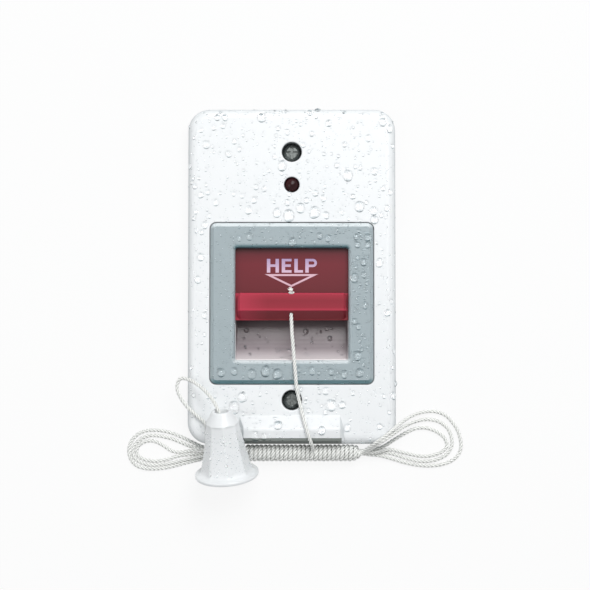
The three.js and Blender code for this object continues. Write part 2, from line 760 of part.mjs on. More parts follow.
function terminalScrew(x) {
  const row = -TERMINAL_DROP + TERMINAL_DEPTH * 0.22;
  const body = rod(TERMINAL_SCREW_RADIUS, terminalBackZ + 1, terminalBackZ + 5 - SEAT_GAP, [x, row], 16);
  const slit = box(x - 2, x + 2, row - 0.3, row + 0.3, terminalBackZ, terminalBackZ + 1.8);
  return cut(body, [slit]);
}

function rearCover() {
  const plate = slab(MODULE_WIDTH, MODULE_HEIGHT, MODULE_CORNER, coverBackZ, coverFrontZ);
  const window = box(
    -terminalHalf - RUN_GAP,
    terminalHalf + RUN_GAP,
    -TERMINAL_DROP - TERMINAL_DEPTH / 2 - RUN_GAP,
    -TERMINAL_DROP + TERMINAL_DEPTH / 2 + RUN_GAP,
    coverBackZ - 1,
    coverFrontZ + 1,
  );
  const holes = coverScrews.flatMap((p) => [
    rod(COVER_SCREW_RADIUS + RUN_GAP, coverBackZ - 1, coverFrontZ + 1, p),
    rod(COVER_SCREW_HEAD + RUN_GAP, coverBackZ - 1, coverBackZ + 1, p),
  ]);
  return cut(plate, [window, ...holes]);
}

function coverGasket() {
  const outer = slab(MODULE_WIDTH, MODULE_HEIGHT, MODULE_CORNER, gasketBackZ, gasketFrontZ);
  const inner = slab(
    MODULE_WIDTH - 2 * WALL,
    MODULE_HEIGHT - 2 * WALL,
    MODULE_CORNER - WALL,
    gasketBackZ - 1,
    gasketFrontZ + 1,
  );
  return outer.subtract(inner);
}

// Cord, knots and pull bell

const cordHankZ = 2.75;
const barExitY = barFoot + 1.4;

// The lead runs from the bar down over the bezel, the lip and into the wrapped hank.
const leadRoute = [
  [cordHoleX, barTop - KNOT_RADIUS - 0.75, cordHoleZ],
  [cordHoleX, barExitY, cordHoleZ],
  [0.0, -17.5, cordHoleZ + 0.5],
  [0.2, -21.0, bezelFrontZ + 1.0],
  [0.7, -27.0, bezelFrontZ + 1.0],
  [1.2, -33.0, bezelFrontZ + 0.9],
  [1.6, -37.5, bezelFrontZ + 0.4],
  [2.4, -41.5, faceZ + 1.05],
  [3.1, -44.5, faceZ + 1.1],
  [3.9, -47.6, faceZ + 1.9],
  [4.8, -51.0, faceZ + LIP_RISE + 1.05],
  [5.8, -54.2, faceZ + LIP_FOOT_RISE + 1.6],
  [6.4, -55.9, faceZ + 1.9],
  [6.9, -57.2, faceZ + 0.2],
  [7.0, -58.0, faceZ - 0.9],
];

// The tail runs from the knot in the bell through its mouth, turns over the edge of the plate
// and comes back under the bell to the end of the wrapped hank.
const tailRoute = [
  [-22.78, -53.4, 14.69],
  [-22.97, -51.4, 15.4],
  [-23.3, -48.6, 16.4],
  [-24.1, -45.4, 17.5],
  [-25.6, -42.2, 17.5],
  [-27.6, -39.6, 15.9],
  [-30.9, -36.8, 12.8],
  [-34.4, -34.8, 10.2],
  [-37.2, -34.6, 8.9],
  [-38.3, -37.4, 8.4],
  [-36.9, -41.2, 8.4],
  [-34.3, -44.5, 8.4],
  [-31.2, -47.3, 8.4],
  [-29.0, -49.3, 8.3],
  [-28.0, -51.4, 8.25],
  [-27.7, -53.6, 8.2],
  [-27.7, -56.0, 7.2],
  [-27.6, -57.3, 5.3],
  [-27.1, -58.2, 3.8],
];

const hankBundle = { left: -14.9, right: 22.4, centre: -59.4, radius: 2.75 };
const hankLoopHeight = 2.7;

function hankOutline(points) {
  const shape = new THREE.Shape();
  shape.moveTo(...points[0]);
  shape.splineThru(points.slice(1).concat([points[0]]).map(([x, y]) => new THREE.Vector2(x, y)));
  return shape;
}

function extrudedUp(shape, height, curveSegments) {
  return toSolid(new THREE.ExtrudeGeometry(shape, { depth: height, bevelEnabled: false, curveSegments }));
}

// The outer shape of the hank: a wrapped middle with flat loops at both ends.
function cordHank() {
  const { left, right, centre, radius } = hankBundle;
  const middle = slab(right - left, 2 * radius, radius, 0, 2 * radius, [(left + right) / 2, centre]);
  const leftLoop = extrudedUp(
    hankOutline([
      [left + 2, centre + 1.9],
      [-24.0, -57.6],
      [-31.0, -57.2],
      [-38.5, -54.0],
      [-46.0, -51.6],
      [-52.5, -53.4],
      [-55.6, -58.2],
      [-53.6, -63.2],
      [-47.5, -65.6],
      [-38.0, -64.6],
      [-29.0, -62.2],
      [-22.0, -61.2],
      [left + 2, centre - 1.9],
    ]),
    hankLoopHeight,
    4,
  );
  const rightLoop = extrudedUp(
    hankOutline([
      [right - 2, centre + 1.9],
      [29.0, -57.2],
      [36.4, -53.2],
      [39.6, -48.6],
      [45.0, -45.8],
      [51.6, -46.6],
      [55.8, -51.0],
      [57.6, -56.4],
      [55.2, -61.4],
      [48.4, -64.4],
      [40.0, -64.2],
      [31.0, -62.0],
      [right - 2, centre - 1.9],
    ]),
    hankLoopHeight,
    4,
  );
  return joined([middle, leftLoop, rightLoop]);
}

const BELL_POINTS = 48;
const bellSides = 8;

// Distance from the axis at one angle: flat sides with softened corners, or round.
function bellRadius(radius, angle, flatSided) {
  if (!flatSided) return radius;
  const span = (2 * Math.PI) / bellSides;
  const offset = ((angle % span) + span) % span - span / 2;
  const apothem = radius * Math.cos(span / 2);
  return Math.min(apothem / Math.cos(offset), radius * 0.985);
}

function bellRing(radius, s, flatSided) {
  return Array.from({ length: BELL_POINTS }, (_, i) => {
    const angle = (i / BELL_POINTS) * 2 * Math.PI;
    const r = bellRadius(radius, angle, flatSided);
    return new THREE.Vector3(r * Math.cos(angle), r * Math.sin(angle), s);
  });
}

function pullBell() {
  const skirtFoot = BELL_FLANGE_THICK + 0.7;
  const levels = [
    [BELL_FLANGE_RADIUS - 0.3, 0, false],
    [BELL_FLANGE_RADIUS, 0.3, false],
    [BELL_FLANGE_RADIUS, BELL_FLANGE_THICK - 0.3, false],
    [BELL_FLANGE_RADIUS - 0.4, BELL_FLANGE_THICK, false],
    [BELL_SKIRT_RADIUS, skirtFoot, true],
    [(BELL_SKIRT_RADIUS * 0.22 + BELL_WAIST_RADIUS * 0.78), BELL_SHOULDER - 4.8, true],
    [BELL_WAIST_RADIUS, BELL_SHOULDER - 0.2, true],
    [BELL_WAIST_RADIUS + 0.05, BELL_SHOULDER + 0.1, false],
    [BELL_WAIST_RADIUS - 0.3, BELL_SHOULDER + 0.6, false],
    [BELL_TOP_RADIUS + 0.3, BELL_LENGTH - 0.6, false],
    [BELL_TOP_RADIUS, BELL_LENGTH, false],
  ];
  const rings = levels.map(([radius, s, flatSided]) => bellRing(radius, s, flatSided));
  const outline = bellRing(BELL_FLANGE_RADIUS, 0, false).map((p) => new THREE.Vector2(p.x, p.y));
  const outer = loft(rings, outline);
  const flat = Math.cos(Math.PI / bellSides);
  const hollow = turned(
    [
      [0, -1],
      [BELL_SKIRT_RADIUS * flat - BELL_WALL + 0.3, -1],
      [BELL_SKIRT_RADIUS * flat - BELL_WALL, 1.6],
      [BELL_WAIST_RADIUS * flat - BELL_WALL + 0.3, BELL_WEB_FOOT],
      [0, BELL_WEB_FOOT],
    ],
    [0, 0],
    32,
  );
  const mouth = rod(BELL_MOUTH_RADIUS, BELL_WEB_FOOT + BELL_WEB_THICK, BELL_LENGTH + 1, [0, 0], 28);
  const bore = rod(CORD_RADIUS + RUN_GAP, BELL_WEB_FOOT - 1, BELL_LENGTH, [0, 0], 16);
  return cut(outer, [hollow, mouth, bore]);
}

function knot(radius) {
  const geometry = new THREE.SphereGeometry(radius, 12, 8);
  return toSolid(geometry);
}

// Assembly
place("front_housing", frontHousing(), materials.white);
place("wall_gasket", wallGasket(), materials.foam);
place("bezel_frame", bezel(), materials.bezel);
place("call_slider", slider(), materials.red);
place("slider_magnet", magnet(), materials.magnet);
place("cord_knot", knot(KNOT_RADIUS).translate([cordHoleX, barTop - 0.4, cordHoleZ]), materials.cord);

for (const [end, at] of Object.entries(boxScrews)) {
  const washer = cut(rod(BOX_SCREW_HEAD_RADIUS, wellFloorZ + SEAT_GAP, wellFloorZ + SEAT_GAP + SCREW_WASHER_THICK, at), [
    rod(BOX_SCREW_RADIUS + SEAT_GAP, -1, faceZ, at),
  ]);
  place(`sealing_washer_${end}`, washer, materials.rubber);
  const headBackZ = wellFloorZ + 2 * SEAT_GAP + SCREW_WASHER_THICK;
  place(
    `mounting_screw_${end}`,
    panHeadScrew(BOX_SCREW_RADIUS, BOX_SCREW_HEAD_RADIUS, BOX_SCREW_HEAD_HEIGHT, headBackZ, BOX_SCREW_LENGTH, at),
    materials.steel,
  );
}

const bezelScrewHeadHeight = 1.1;
const bezelScrewSeatZ = WALL_GASKET_THICK + 1.4 - SEAT_GAP;
for (const [i, at] of bezelScrews.entries()) {
  const length = bezelFrontZ - 1.1 - RUN_GAP - bezelScrewSeatZ;
  const screw = rearScrew(BEZEL_SCREW_RADIUS, BEZEL_SCREW_HEAD, bezelScrewHeadHeight, bezelScrewSeatZ, length, at);
  place(`bezel_screw_${i + 1}`, screw, materials.steel);
}

place("indicator_led", led(), materials.darkRed);
place("led_seal", rubberRing(LED_RADIUS + SEAT_GAP + LED_SEAL_RADIUS, LED_SEAL_RADIUS, ledPlace, ledSealZ), materials.rubber);
for (const [side, x] of Object.entries(ledLeads)) {
  place(`led_lead_${side}`, ledLead(x), materials.steel);
}

place("circuit_board", circuitBoard(), materials.board);
for (const [i, at] of boardScrews.entries()) {
  const screw = rearScrew(
    BOARD_SCREW_RADIUS,
    BOARD_SCREW_HEAD,
    1.2,
    boardBackZ - SEAT_GAP,
    BOARD_SCREW_LENGTH,
    at,
  );
  place(`board_screw_${i + 1}`, screw, materials.steel);
}
for (const [state, y] of Object.entries(magnetPlaces)) {
  const keeper = box(
    -KEEPER_WIDTH / 2,
    KEEPER_WIDTH / 2,
    y - KEEPER_HEIGHT / 2,
    y + KEEPER_HEIGHT / 2,
    webBackZ,
    webBackZ + KEEPER_THICK,
  );
  place(`keeper_plate_${state}`, keeper, materials.steel);
  place(`reed_switch_${state}`, reedSwitch(state === "up" ? -REED_OFFSET : REED_OFFSET, y), materials.glass);
}
place("terminal_block", terminalBlock(), materials.terminal);
for (const [i, x] of terminalPlaces.entries()) {
  place(`terminal_screw_${i + 1}`, terminalScrew(x), materials.steel);
}
place("cover_gasket", coverGasket(), materials.rubber);
place("rear_cover", rearCover(), materials.grey);
for (const [i, at] of coverScrews.entries()) {
  const screw = rearScrew(
    COVER_SCREW_RADIUS,
    COVER_SCREW_HEAD,
    0.8,
    coverBackZ + 1 - SEAT_GAP,
    COVER_SCREW_LENGTH,
    at,
  );
  place(`cover_screw_${i + 1}`, screw, materials.steel);
}

place("cord_lead", tube(leadRoute, CORD_RADIUS, CORD_SIDES, 40), materials.cord);
place("cord_hank", cordHank(), materials.cord);
place("cord_tail", tube(tailRoute, CORD_RADIUS, CORD_SIDES, 36), materials.cord);

// The bell lies with its flange on the table and its waist on the edge of the plate.
const bellLie = new THREE.Group();
const tilt = THREE.MathUtils.degToRad(BELL_TILT);
bellLie.position.set(BELL_FOOT[0], BELL_FOOT[1], BELL_FLANGE_RADIUS * Math.cos(tilt) + 0.05);
bellLie.rotation.set(tilt - Math.PI / 2, 0, THREE.MathUtils.degToRad(BELL_YAW), "ZYX");
station.add(bellLie);
const bell = place("pull_bell", pullBell(), materials.white, bellLie);
bell.rotation.z = THREE.MathUtils.degToRad(BELL_ROLL);
const bellKnot = place("bell_knot", knot(BELL_KNOT_RADIUS), materials.cord, bellLie);
bellKnot.position.z = BELL_WEB_FOOT - BELL_KNOT_RADIUS - RUN_GAP;

export default station;
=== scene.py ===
import json
import math
import random

import bpy
import numpy as np
from mathutils import Matrix, Vector
from mathutils.bvhtree import BVHTree
from mathutils.kdtree import KDTree


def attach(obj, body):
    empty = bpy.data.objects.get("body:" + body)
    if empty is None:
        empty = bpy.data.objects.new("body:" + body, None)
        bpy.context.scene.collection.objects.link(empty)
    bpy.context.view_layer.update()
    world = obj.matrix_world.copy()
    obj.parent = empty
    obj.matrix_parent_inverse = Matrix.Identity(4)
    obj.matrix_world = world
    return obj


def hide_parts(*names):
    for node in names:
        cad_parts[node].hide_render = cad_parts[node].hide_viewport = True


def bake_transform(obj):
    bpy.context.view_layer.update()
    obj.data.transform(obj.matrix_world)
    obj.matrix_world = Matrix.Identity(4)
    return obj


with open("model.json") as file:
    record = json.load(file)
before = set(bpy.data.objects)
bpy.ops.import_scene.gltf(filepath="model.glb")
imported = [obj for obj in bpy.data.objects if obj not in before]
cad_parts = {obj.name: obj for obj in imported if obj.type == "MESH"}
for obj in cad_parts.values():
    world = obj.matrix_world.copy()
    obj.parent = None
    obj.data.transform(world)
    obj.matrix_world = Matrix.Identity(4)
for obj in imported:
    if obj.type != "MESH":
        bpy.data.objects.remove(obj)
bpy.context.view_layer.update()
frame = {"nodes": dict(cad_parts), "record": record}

MM = 0.001

# The plate lies on its back and the camera looks down at its face from just below its middle.
FACE_Z = 7.4  # front of the plate, in mm above the floor
PLATE_WIDTH = 69.85
PLATE_HEIGHT = 112.7
CAMERA_DISTANCE = 650.0
CAMERA_TILT = 3.0  # degrees, towards the foot of the plate
CAMERA_AIM = (1.07, -6.53, FACE_Z)
VIEW_WIDTH = 197.65  # mm across the picture, at the plate's face
SENSOR = 36.0

scene = bpy.context.scene
scene.view_settings.view_transform = "Standard"


def point_at(thing, place, aim):
    thing.location = place
    thing.rotation_euler = (Vector(aim) - Vector(place)).to_track_quat("-Z", "Y").to_euler()


camera = bpy.data.objects.new("camera", bpy.data.cameras.new("camera"))
scene.collection.objects.link(camera)
tilt = math.radians(CAMERA_TILT)
aim = Vector(CAMERA_AIM) * MM
away = Vector((0, -math.sin(tilt), math.cos(tilt)))
point_at(camera, aim + away * CAMERA_DISTANCE * MM, aim)
camera.data.sensor_width = SENSOR
camera.data.lens = SENSOR * CAMERA_DISTANCE / VIEW_WIDTH
camera.data.clip_start = 0.05
camera.data.clip_end = 20
scene.camera = camera


# Nodes and materials


def linear(code):
    """An sRGB hex colour as linear red, green, blue and alpha."""
    parts = [int(code[i : i + 2], 16) / 255 for i in (1, 3, 5)]
    return (*[c / 12.92 if c <= 0.04045 else ((c + 0.055) / 1.055) ** 2.4 for c in parts], 1)


def per(size):
    """The scale that repeats a pattern every size millimetres."""
    return 1 / (size * MM)


def add(tree, kind, inputs=None, stops=None, **settings):
    """Adds a node. inputs maps a socket to a value, or to the output that feeds it."""
    made = tree.nodes.new(kind)
    for name, value in settings.items():
        setattr(made, name, value)
    for name, value in (inputs or {}).items():
        if isinstance(value, bpy.types.NodeSocket):
            tree.links.new(value, made.inputs[name])
        else:
            made.inputs[name].default_value = value
    for i, (place, code) in enumerate(stops or []):
        marks = made.color_ramp.elements
        mark = marks[i] if i < len(marks) else marks.new(place)
        mark.position = place
        mark.color = linear(code)
    return made


def mixed(tree, share, first, second, **settings):
    """The colour between two others, each a linear colour or an output."""
    inputs = {0: share, 6: first, 7: second}
    return add(tree, "ShaderNodeMix", inputs, data_type="RGBA", **settings).outputs[2]


def worked(tree, operation, *values):
    """The result of an operation on numbers or outputs."""
    return add(tree, "ShaderNodeMath", dict(enumerate(values)), operation=operation).outputs[0]


def ranged(tree, value, start, end, low=0.0, high=1.0):
    """The value, taken from start and end to low and high, and held there beyond them."""
    inputs = {"Value": value, "From Min": start, "From Max": end, "To Min": low, "To Max": high}
    return add(tree, "ShaderNodeMapRange", inputs).outputs[0]


def on_object(tree):
    return add(tree, "ShaderNodeTexCoord").outputs["Object"]


def noise(tree, place, size, detail):
    """A cloudy pattern with features of about size millimetres."""
    inputs = {"Vector": place, "Scale": per(size), "Detail": detail}
    return add(tree, "ShaderNodeTexNoise", inputs).outputs[0]


def bumped(tree, shader, height, strength, depth, normal=None):
    """Gives the shader a relief, depth millimetres deep, on top of the normal."""
    inputs = {"Height": height, "Strength": strength, "Distance": depth * MM}
    if normal is not None:
        inputs["Normal"] = normal
    bump = add(tree, "ShaderNodeBump", inputs)
    tree.links.new(bump.outputs[0], shader.inputs["Normal"])


def finish(name, **sockets):
    """A new material, its tree and its shader. Every value is set on the shader's own socket."""
    made = bpy.data.materials.new(name)
    made.use_nodes = True
    tree = made.node_tree
    shader = tree.nodes["Principled BSDF"]
    for socket, value in sockets.items():
        shader.inputs[socket.replace("_", " ")].default_value = value
    return made, tree, shader


# Where the colours of the plate and the slider change, and where their painted shade and light lie, in mm
POCKET_HALF_WIDTH = 18.9
POCKET_TOP_Y = 9.4
POCKET_FOOT_Y = -28.5
# POCKET_SHADE_Y and POCKET_MOUTH_Y bound the painted shade in the pocket.
POCKET_SHADE_Y = -14.5  # where the wall behind the bar comes into view
POCKET_MOUTH_Y = -28.3
# The next two bound the painted shadow at the foot of the lip.
LIP_HALF_WIDTH = 16.6
LIP_SHADOW_Y = -54.3
PANEL_TOP_Y = 9.3
BAR_TOP_Y = -5.9
BAR_FOOT_Y = -14.9
WORD_TOP_Y = 5.75
ARROW_TIP_Y = -3.75


def moulded(name, code, shade, grain, edge, roughness):
    """Injection moulded ABS: a satin skin with a fine spark eroded grain, a slow drift in its tint,
    and soft edges where the tool was polished. Returns its colour's output too, for more work on it."""
    made, tree, shader = finish(name, Roughness=roughness, IOR=1.54)
    place = on_object(tree)
    colour = mixed(tree, noise(tree, place, 23, 2.0), linear(code), linear(shade))
    tree.links.new(colour, shader.inputs["Base Color"])
    soft = add(tree, "ShaderNodeBevel", {"Radius": edge * MM}, samples=6)
    bumped(tree, shader, noise(tree, place, grain, 3.0), 0.25, 0.03, soft.outputs[0])
    return made, tree, shader, colour


def white_abs():
    """The plate: cool white ABS. Its colour is painted greyer where it rolls away to its sides, as painted
    shade, and dark grey along the foot of the lip, as a painted shadow. The scooped pocket behind the bar
    has painted shade in a pinkish grey with a painted red reflection of the slider, dark under the bar and
    paling towards the mouth."""
    made, tree, shader, colour = moulded("white_abs", "#F1F3F4", "#EBEEF0", 0.35, 0.8, 0.34)
    normal = add(tree, "ShaderNodeNewGeometry").outputs["Normal"]
    upright = add(tree, "ShaderNodeSeparateXYZ", {0: normal}).outputs[2]
    # Painted shade: the plate is painted greyer where its skin turns away from straight up.
    roll_painted_shade = mixed(tree, ranged(tree, upright, 0.8, 0.05, 0.0, 0.7), colour, linear("#9FABAF"))
    axes = add(tree, "ShaderNodeSeparateXYZ", {0: on_object(tree)}).outputs
    across = worked(tree, "ABSOLUTE", axes[0])
    # Painted shadow: a dark grey strip along the foot of the lip, where its overhang throws shade.
    lip_wide = worked(tree, "LESS_THAN", across, LIP_HALF_WIDTH * MM)
    lip_foot = worked(tree, "LESS_THAN", axes[1], LIP_SHADOW_Y * MM)
    lip_painted_shadow = worked(tree, "MULTIPLY", lip_wide, lip_foot)
    skin = mixed(tree, lip_painted_shadow, roll_painted_shade, linear("#7F8581"))
    inside = worked(tree, "LESS_THAN", across, POCKET_HALF_WIDTH * MM)
    above = worked(tree, "GREATER_THAN", axes[1], POCKET_FOOT_Y * MM)
    below = worked(tree, "LESS_THAN", axes[1], POCKET_TOP_Y * MM)
    rows = worked(tree, "MULTIPLY", above, below)
    pocket = worked(tree, "MULTIPLY", rows, inside)
    # Painted shade and painted red reflected light: the pocket wall goes from dark pinkish grey under the
    # bar to pale at the mouth.
    run = ranged(tree, axes[1], POCKET_SHADE_Y * MM, POCKET_MOUTH_Y * MM)
    pocket_shade_stops = [
        (0.0, "#5E5154"),
        (1.0, "#EDE5E6"),
        (0.3, "#564A4D"),
        (0.5, "#685D61"),
        (0.72, "#968D91"),
        (0.88, "#CBC3C6"),
    ]
    pocket_painted_shade_and_bounce = add(tree, "ShaderNodeValToRGB", {0: run}, pocket_shade_stops).outputs[0]
    tree.links.new(mixed(tree, pocket, skin, pocket_painted_shade_and_bounce), shader.inputs["Base Color"])
    return made


def bell_abs():
    """The pull bell: the same white ABS with a finer grain."""
    return moulded("bell_abs", "#F2F4F5", "#EAEDEF", 0.25, 0.3, 0.3)[0]


def tinted_abs():
    """The bezel: blue grey ABS, a little clear. Its edges that face the foot are painted deeper and greener
    than its face, as painted shade, and those that face the top are painted lighter, as a painted
    highlight."""
    made, tree, shader, colour = moulded("tinted_abs", "#A9B5B9", "#A1ADB2", 0.3, 0.25, 0.28)
    normal = add(tree, "ShaderNodeNewGeometry").outputs["True Normal"]
    facing = add(tree, "ShaderNodeSeparateXYZ", {0: normal}).outputs[1]
    # Painted shade on the edges facing the foot, painted highlight on the edges facing the top.
    deep = mixed(tree, ranged(tree, facing, 0.05, -0.7), colour, linear("#4E7A82"))
    edge_shade_and_highlight = mixed(tree, ranged(tree, facing, 0.15, 0.7), deep, linear("#E6EEF0"))
    tree.links.new(edge_shade_and_highlight, shader.inputs["Base Color"])
    return made


def red_abs():
    """The slider: red ABS, a little clear. From the top of the panel to the foot of the bar its red carries
    painted light: painted shade on the panel near its top, painted highlights along the bar's edges, and a
    painted glow on the bar towards its left end."""
    made, tree, shader, colour = moulded("red_abs", "#FFFFFF", "#EFEFEF", 0.3, 0.2, 0.32)
    shader.inputs["Specular IOR Level"].default_value = 0.25
    axes = add(tree, "ShaderNodeSeparateXYZ", {0: on_object(tree)}).outputs
    # Painted light on the slider: shade near the panel's top and highlights along the bar's edges.
    run = ranged(tree, axes[1], PANEL_TOP_Y * MM, BAR_FOOT_Y * MM)
    red_with_painted_light_stops = [
        (0.0, "#4A191F"),
        (1.0, "#84272F"),
        (0.08, "#662029"),
        (0.22, "#74242E"),
        (0.624, "#6A222A"),
        (0.63, "#CF4058"),
        (0.653, "#A82D40"),
        (0.736, "#922636"),
        (0.831, "#9C293A"),
        (0.864, "#BA344A"),
        (0.88, "#842733"),
    ]
    tint = add(tree, "ShaderNodeValToRGB", {0: run}, red_with_painted_light_stops).outputs[0]
    bar = worked(tree, "LESS_THAN", axes[1], BAR_TOP_Y * MM)
    # Painted glow: the bar is painted brighter towards its left end.
    painted_glow_leftwards = ranged(tree, axes[0], -8 * MM, -18 * MM, 0.0, 0.6)
    glow = mixed(tree, worked(tree, "MULTIPLY", bar, painted_glow_leftwards), tint, linear("#C83C54"))
    skin = mixed(tree, 1.0, glow, colour, blend_type="MULTIPLY")
    tree.links.new(skin, shader.inputs["Base Color"])
    return made


def grey_abs():
    """The rear cover: plain light grey ABS from a coarser tool."""
    return moulded("grey_abs", "#CFD3D6", "#C6CBCE", 0.5, 0.3, 0.5)[0]


def pad_ink():
    """Pad printed ink: lilac at the top of the word and pinker below, thin enough that its density
    wanders."""
    made, tree, shader = finish("pad_ink", Roughness=0.45)
    place = on_object(tree)
    height = add(tree, "ShaderNodeSeparateXYZ", {0: place}).outputs[1]
    run = ranged(tree, height, WORD_TOP_Y * MM, ARROW_TIP_Y * MM)
    tints = [(0.0, "#9A82B2"), (1.0, "#D4A8B6"), (0.45, "#D3B2CC"), (0.53, "#D9AFBE")]
    tint = add(tree, "ShaderNodeValToRGB", {0: run}, tints).outputs[0]
    thin = ranged(tree, noise(tree, place, 1.6, 3.0), 0.0, 1.0, 0.0, 0.35)
    tree.links.new(mixed(tree, thin, tint, linear("#E6CBD9")), shader.inputs["Base Color"])
    return made


def lamp_epoxy():
    """The indicator's lens: dark red epoxy with a polished dome over a dim die."""
    made, tree, shader = finish("lamp_epoxy", Roughness=0.08, IOR=1.55, Specular_IOR_Level=0.15)
    cloud = noise(tree, on_object(tree), 2.2, 1.0)
    colour = mixed(tree, cloud, linear("#120507"), linear("#3C0E13"))
    tree.links.new(colour, shader.inputs["Base Color"])
    return made


def metal(name, code, dull, roughness, grain):
    """A plated screw, plate or wire: turned or sheared steel under a thin coat, with faint blotches
    where the plating took unevenly."""
    made, tree, shader = finish(name, Metallic=1.0)
    blotch = noise(tree, on_object(tree), grain, 4.0)
    rough = ranged(tree, blotch, 0.0, 1.0, roughness - 0.08, roughness + 0.1)
    soft = add(tree, "ShaderNodeBevel", {"Radius": 0.15 * MM}, samples=4).outputs[0]
    tree.links.new(mixed(tree, blotch, linear(code), linear(dull)), shader.inputs["Base Color"])
    tree.links.new(rough, shader.inputs["Roughness"])
    tree.links.new(soft, shader.inputs["Normal"])
    return made


def soft_rubber(name, code, dusty, pore, depth):
    """Black rubber or foam: dull, dusted in its hollows, with pores of the given size."""
    made, tree, shader = finish(name, Roughness=0.85, Sheen_Weight=0.1)
    voronoi = {"Vector": on_object(tree), "Scale": per(pore)}
    pores = add(tree, "ShaderNodeTexVoronoi", voronoi).outputs["Distance"]
    tree.links.new(mixed(tree, pores, linear(code), linear(dusty)), shader.inputs["Base Color"])
    bumped(tree, shader, pores, 0.5, depth)
    return made


def board_mask():
    """The circuit board: glass epoxy under green solder mask, with copper runs that stand proud."""
    made, tree, shader = finish("board_mask", Roughness=0.35)
    brick = {
        "Vector": on_object(tree),
        "Scale": per(5.08),
        "Mortar Size": 0.06,
        "Color1": linear("#1C6040"),
        "Color2": linear("#1F6B45"),
        "Mortar": linear("#338A5E"),
    }
    runs = add(tree, "ShaderNodeTexBrick", brick).outputs
    tree.links.new(runs["Color"], shader.inputs["Base Color"])
    bumped(tree, shader, runs["Fac"], 0.4, 0.05)
    return made


def terminal_polyamide():
    """The terminal block: green polyamide with the flat, slightly streaked skin of a small moulding."""
    return moulded("terminal_polyamide", "#2F7D4F", "#2A7248", 0.4, 0.2, 0.5)[0]


def reed_glass():
    """The reed switches: drawn green tinted glass round a blade."""
    made, tree, shader = finish("reed_glass", Roughness=0.05, IOR=1.5, Transmission_Weight=0.7)
    streak = noise(tree, on_object(tree), 1.2, 2.0)
    colour = mixed(tree, streak, linear("#9FB7A6"), linear("#86A18F"))
    tree.links.new(colour, shader.inputs["Base Color"])
    return made


def twisted_nylon():
    """The cord: white nylon multifilament. Its filaments run along each strand, so the skin has a
    soft lengthwise streak and a low sheen. It is painted greyer down in the grooves between the strands, as
    painted shade; the grooves lie where the map's first coordinate is a whole number."""
    made, tree, shader = finish("twisted_nylon", Roughness=0.62, Sheen_Weight=0.25, Sheen_Roughness=0.4)
    strand = add(tree, "ShaderNodeUVMap", uv_map="fibres").outputs[0]
    turn = {"Vector": strand, "Rotation": (0, 0, math.radians(24)), "Scale": (12.0, 0.7, 1.0)}
    lean = add(tree, "ShaderNodeMapping", turn).outputs[0]
    streak = {"Vector": lean, "Scale": 1.0, "Detail": 3.0}
    filaments = add(tree, "ShaderNodeTexNoise", streak).outputs[0]
    fibre = mixed(tree, filaments, linear("#F3F4F0"), linear("#FFFFFD"))
    around = add(tree, "ShaderNodeSeparateXYZ", {0: strand}).outputs[0]
    # Painted shade in the grooves between the strands.
    crown = ranged(tree, worked(tree, "PINGPONG", around, 0.5), 0.0, 0.24)
    tree.links.new(mixed(tree, crown, linear("#B9BDB9"), fibre), shader.inputs["Base Color"])
    bumped(tree, shader, filaments, 0.6, 0.05)
    return made


def water():
    """Water: smooth and clear on top, painted grey at the lower rim of each bead, as painted shade. A faint
    ripple keeps its highlights from looking cut out."""
    made, tree, shader = finish("water", Roughness=0.0, IOR=1.33, Transmission_Weight=1.0)
    normal = add(tree, "ShaderNodeNewGeometry").outputs["Normal"]
    lean = add(tree, "ShaderNodeSeparateXYZ", {0: normal}).outputs[1]
    # Painted shade: the bead's colour goes grey where its skin faces the foot of the plate.
    share = ranged(tree, lean, -0.9, 0.6)
    rim_painted_shade_stops = [(0.0, "#465459"), (1.0, "#FFFFFF"), (0.13, "#7D8B90"), (0.25, "#DCE3E5"), (0.34, "#FFFFFF")]
    rim = add(tree, "ShaderNodeValToRGB", {0: share}, rim_painted_shade_stops).outputs[0]
    tree.links.new(rim, shader.inputs["Base Color"])
    bumped(tree, shader, noise(tree, on_object(tree), 1.5, 0.0), 0.1, 0.02)
    return made


nylon = twisted_nylon()
ink = pad_ink()
bell_white = bell_abs()
droplet = water()


# Meshes


def piece(name, points, faces, material, body=None):
    """A smooth shaded mesh from points in millimetres, riding on a body."""
    mesh = bpy.data.meshes.new(name)
    mesh.from_pydata([tuple(p) for p in np.asarray(points, float) * MM], [], faces)
    mesh.materials.append(material)
    mesh.polygons.foreach_set("use_smooth", [True] * len(mesh.polygons))
    mesh.update()
    made = bpy.data.objects.new(name, mesh)
    scene.collection.objects.link(made)
    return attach(made, body) if body else made


def distances(path):
    return np.concatenate([[0], np.cumsum(np.linalg.norm(np.diff(path, axis=0), axis=1))])


def smooth_path(points, spacing):
    """An evenly spaced line on the centripetal spline through the points."""
    p = np.array(points, float)
    p = np.vstack([2 * p[0] - p[1], p, 2 * p[-1] - p[-2]])
    knots = np.concatenate([[0], np.cumsum(np.linalg.norm(np.diff(p, axis=0), axis=1) ** 0.5)])
    rows = []

    def between(t, low, high, a, b):
        return (high - t) / (high - low) * a + (t - low) / (high - low) * b

    for i in range(1, len(p) - 2):
        k = knots[i - 1 : i + 3]
        t = np.linspace(k[1], k[2], 12, endpoint=False)[:, None]
        first = [between(t, k[j], k[j + 1], p[i - 1 + j], p[i + j]) for j in range(3)]
        second = [between(t, k[j], k[j + 2], first[j], first[j + 1]) for j in range(2)]
        rows.append(between(t, k[1], k[2], second[0], second[1]))
    fine = np.vstack([*rows, p[-2:-1]])
    along = distances(fine)
    even = np.linspace(0, along[-1], max(int(along[-1] / spacing), 2) + 1)
    return np.column_stack([np.interp(even, along, fine[:, k]) for k in range(3)])


# Cord: three strands laid right handed
CORD_RADIUS = 0.65
CORD_LAY = 3.9  # mm for one turn of a strand
STRANDS = 3
GROOVE = 0.6  # radius between two strands, as a share of the cord's
LOBE = [(-60, GROOVE), (-38, 0.82), (-13, 0.99), (13, 0.99), (38, 0.82)]


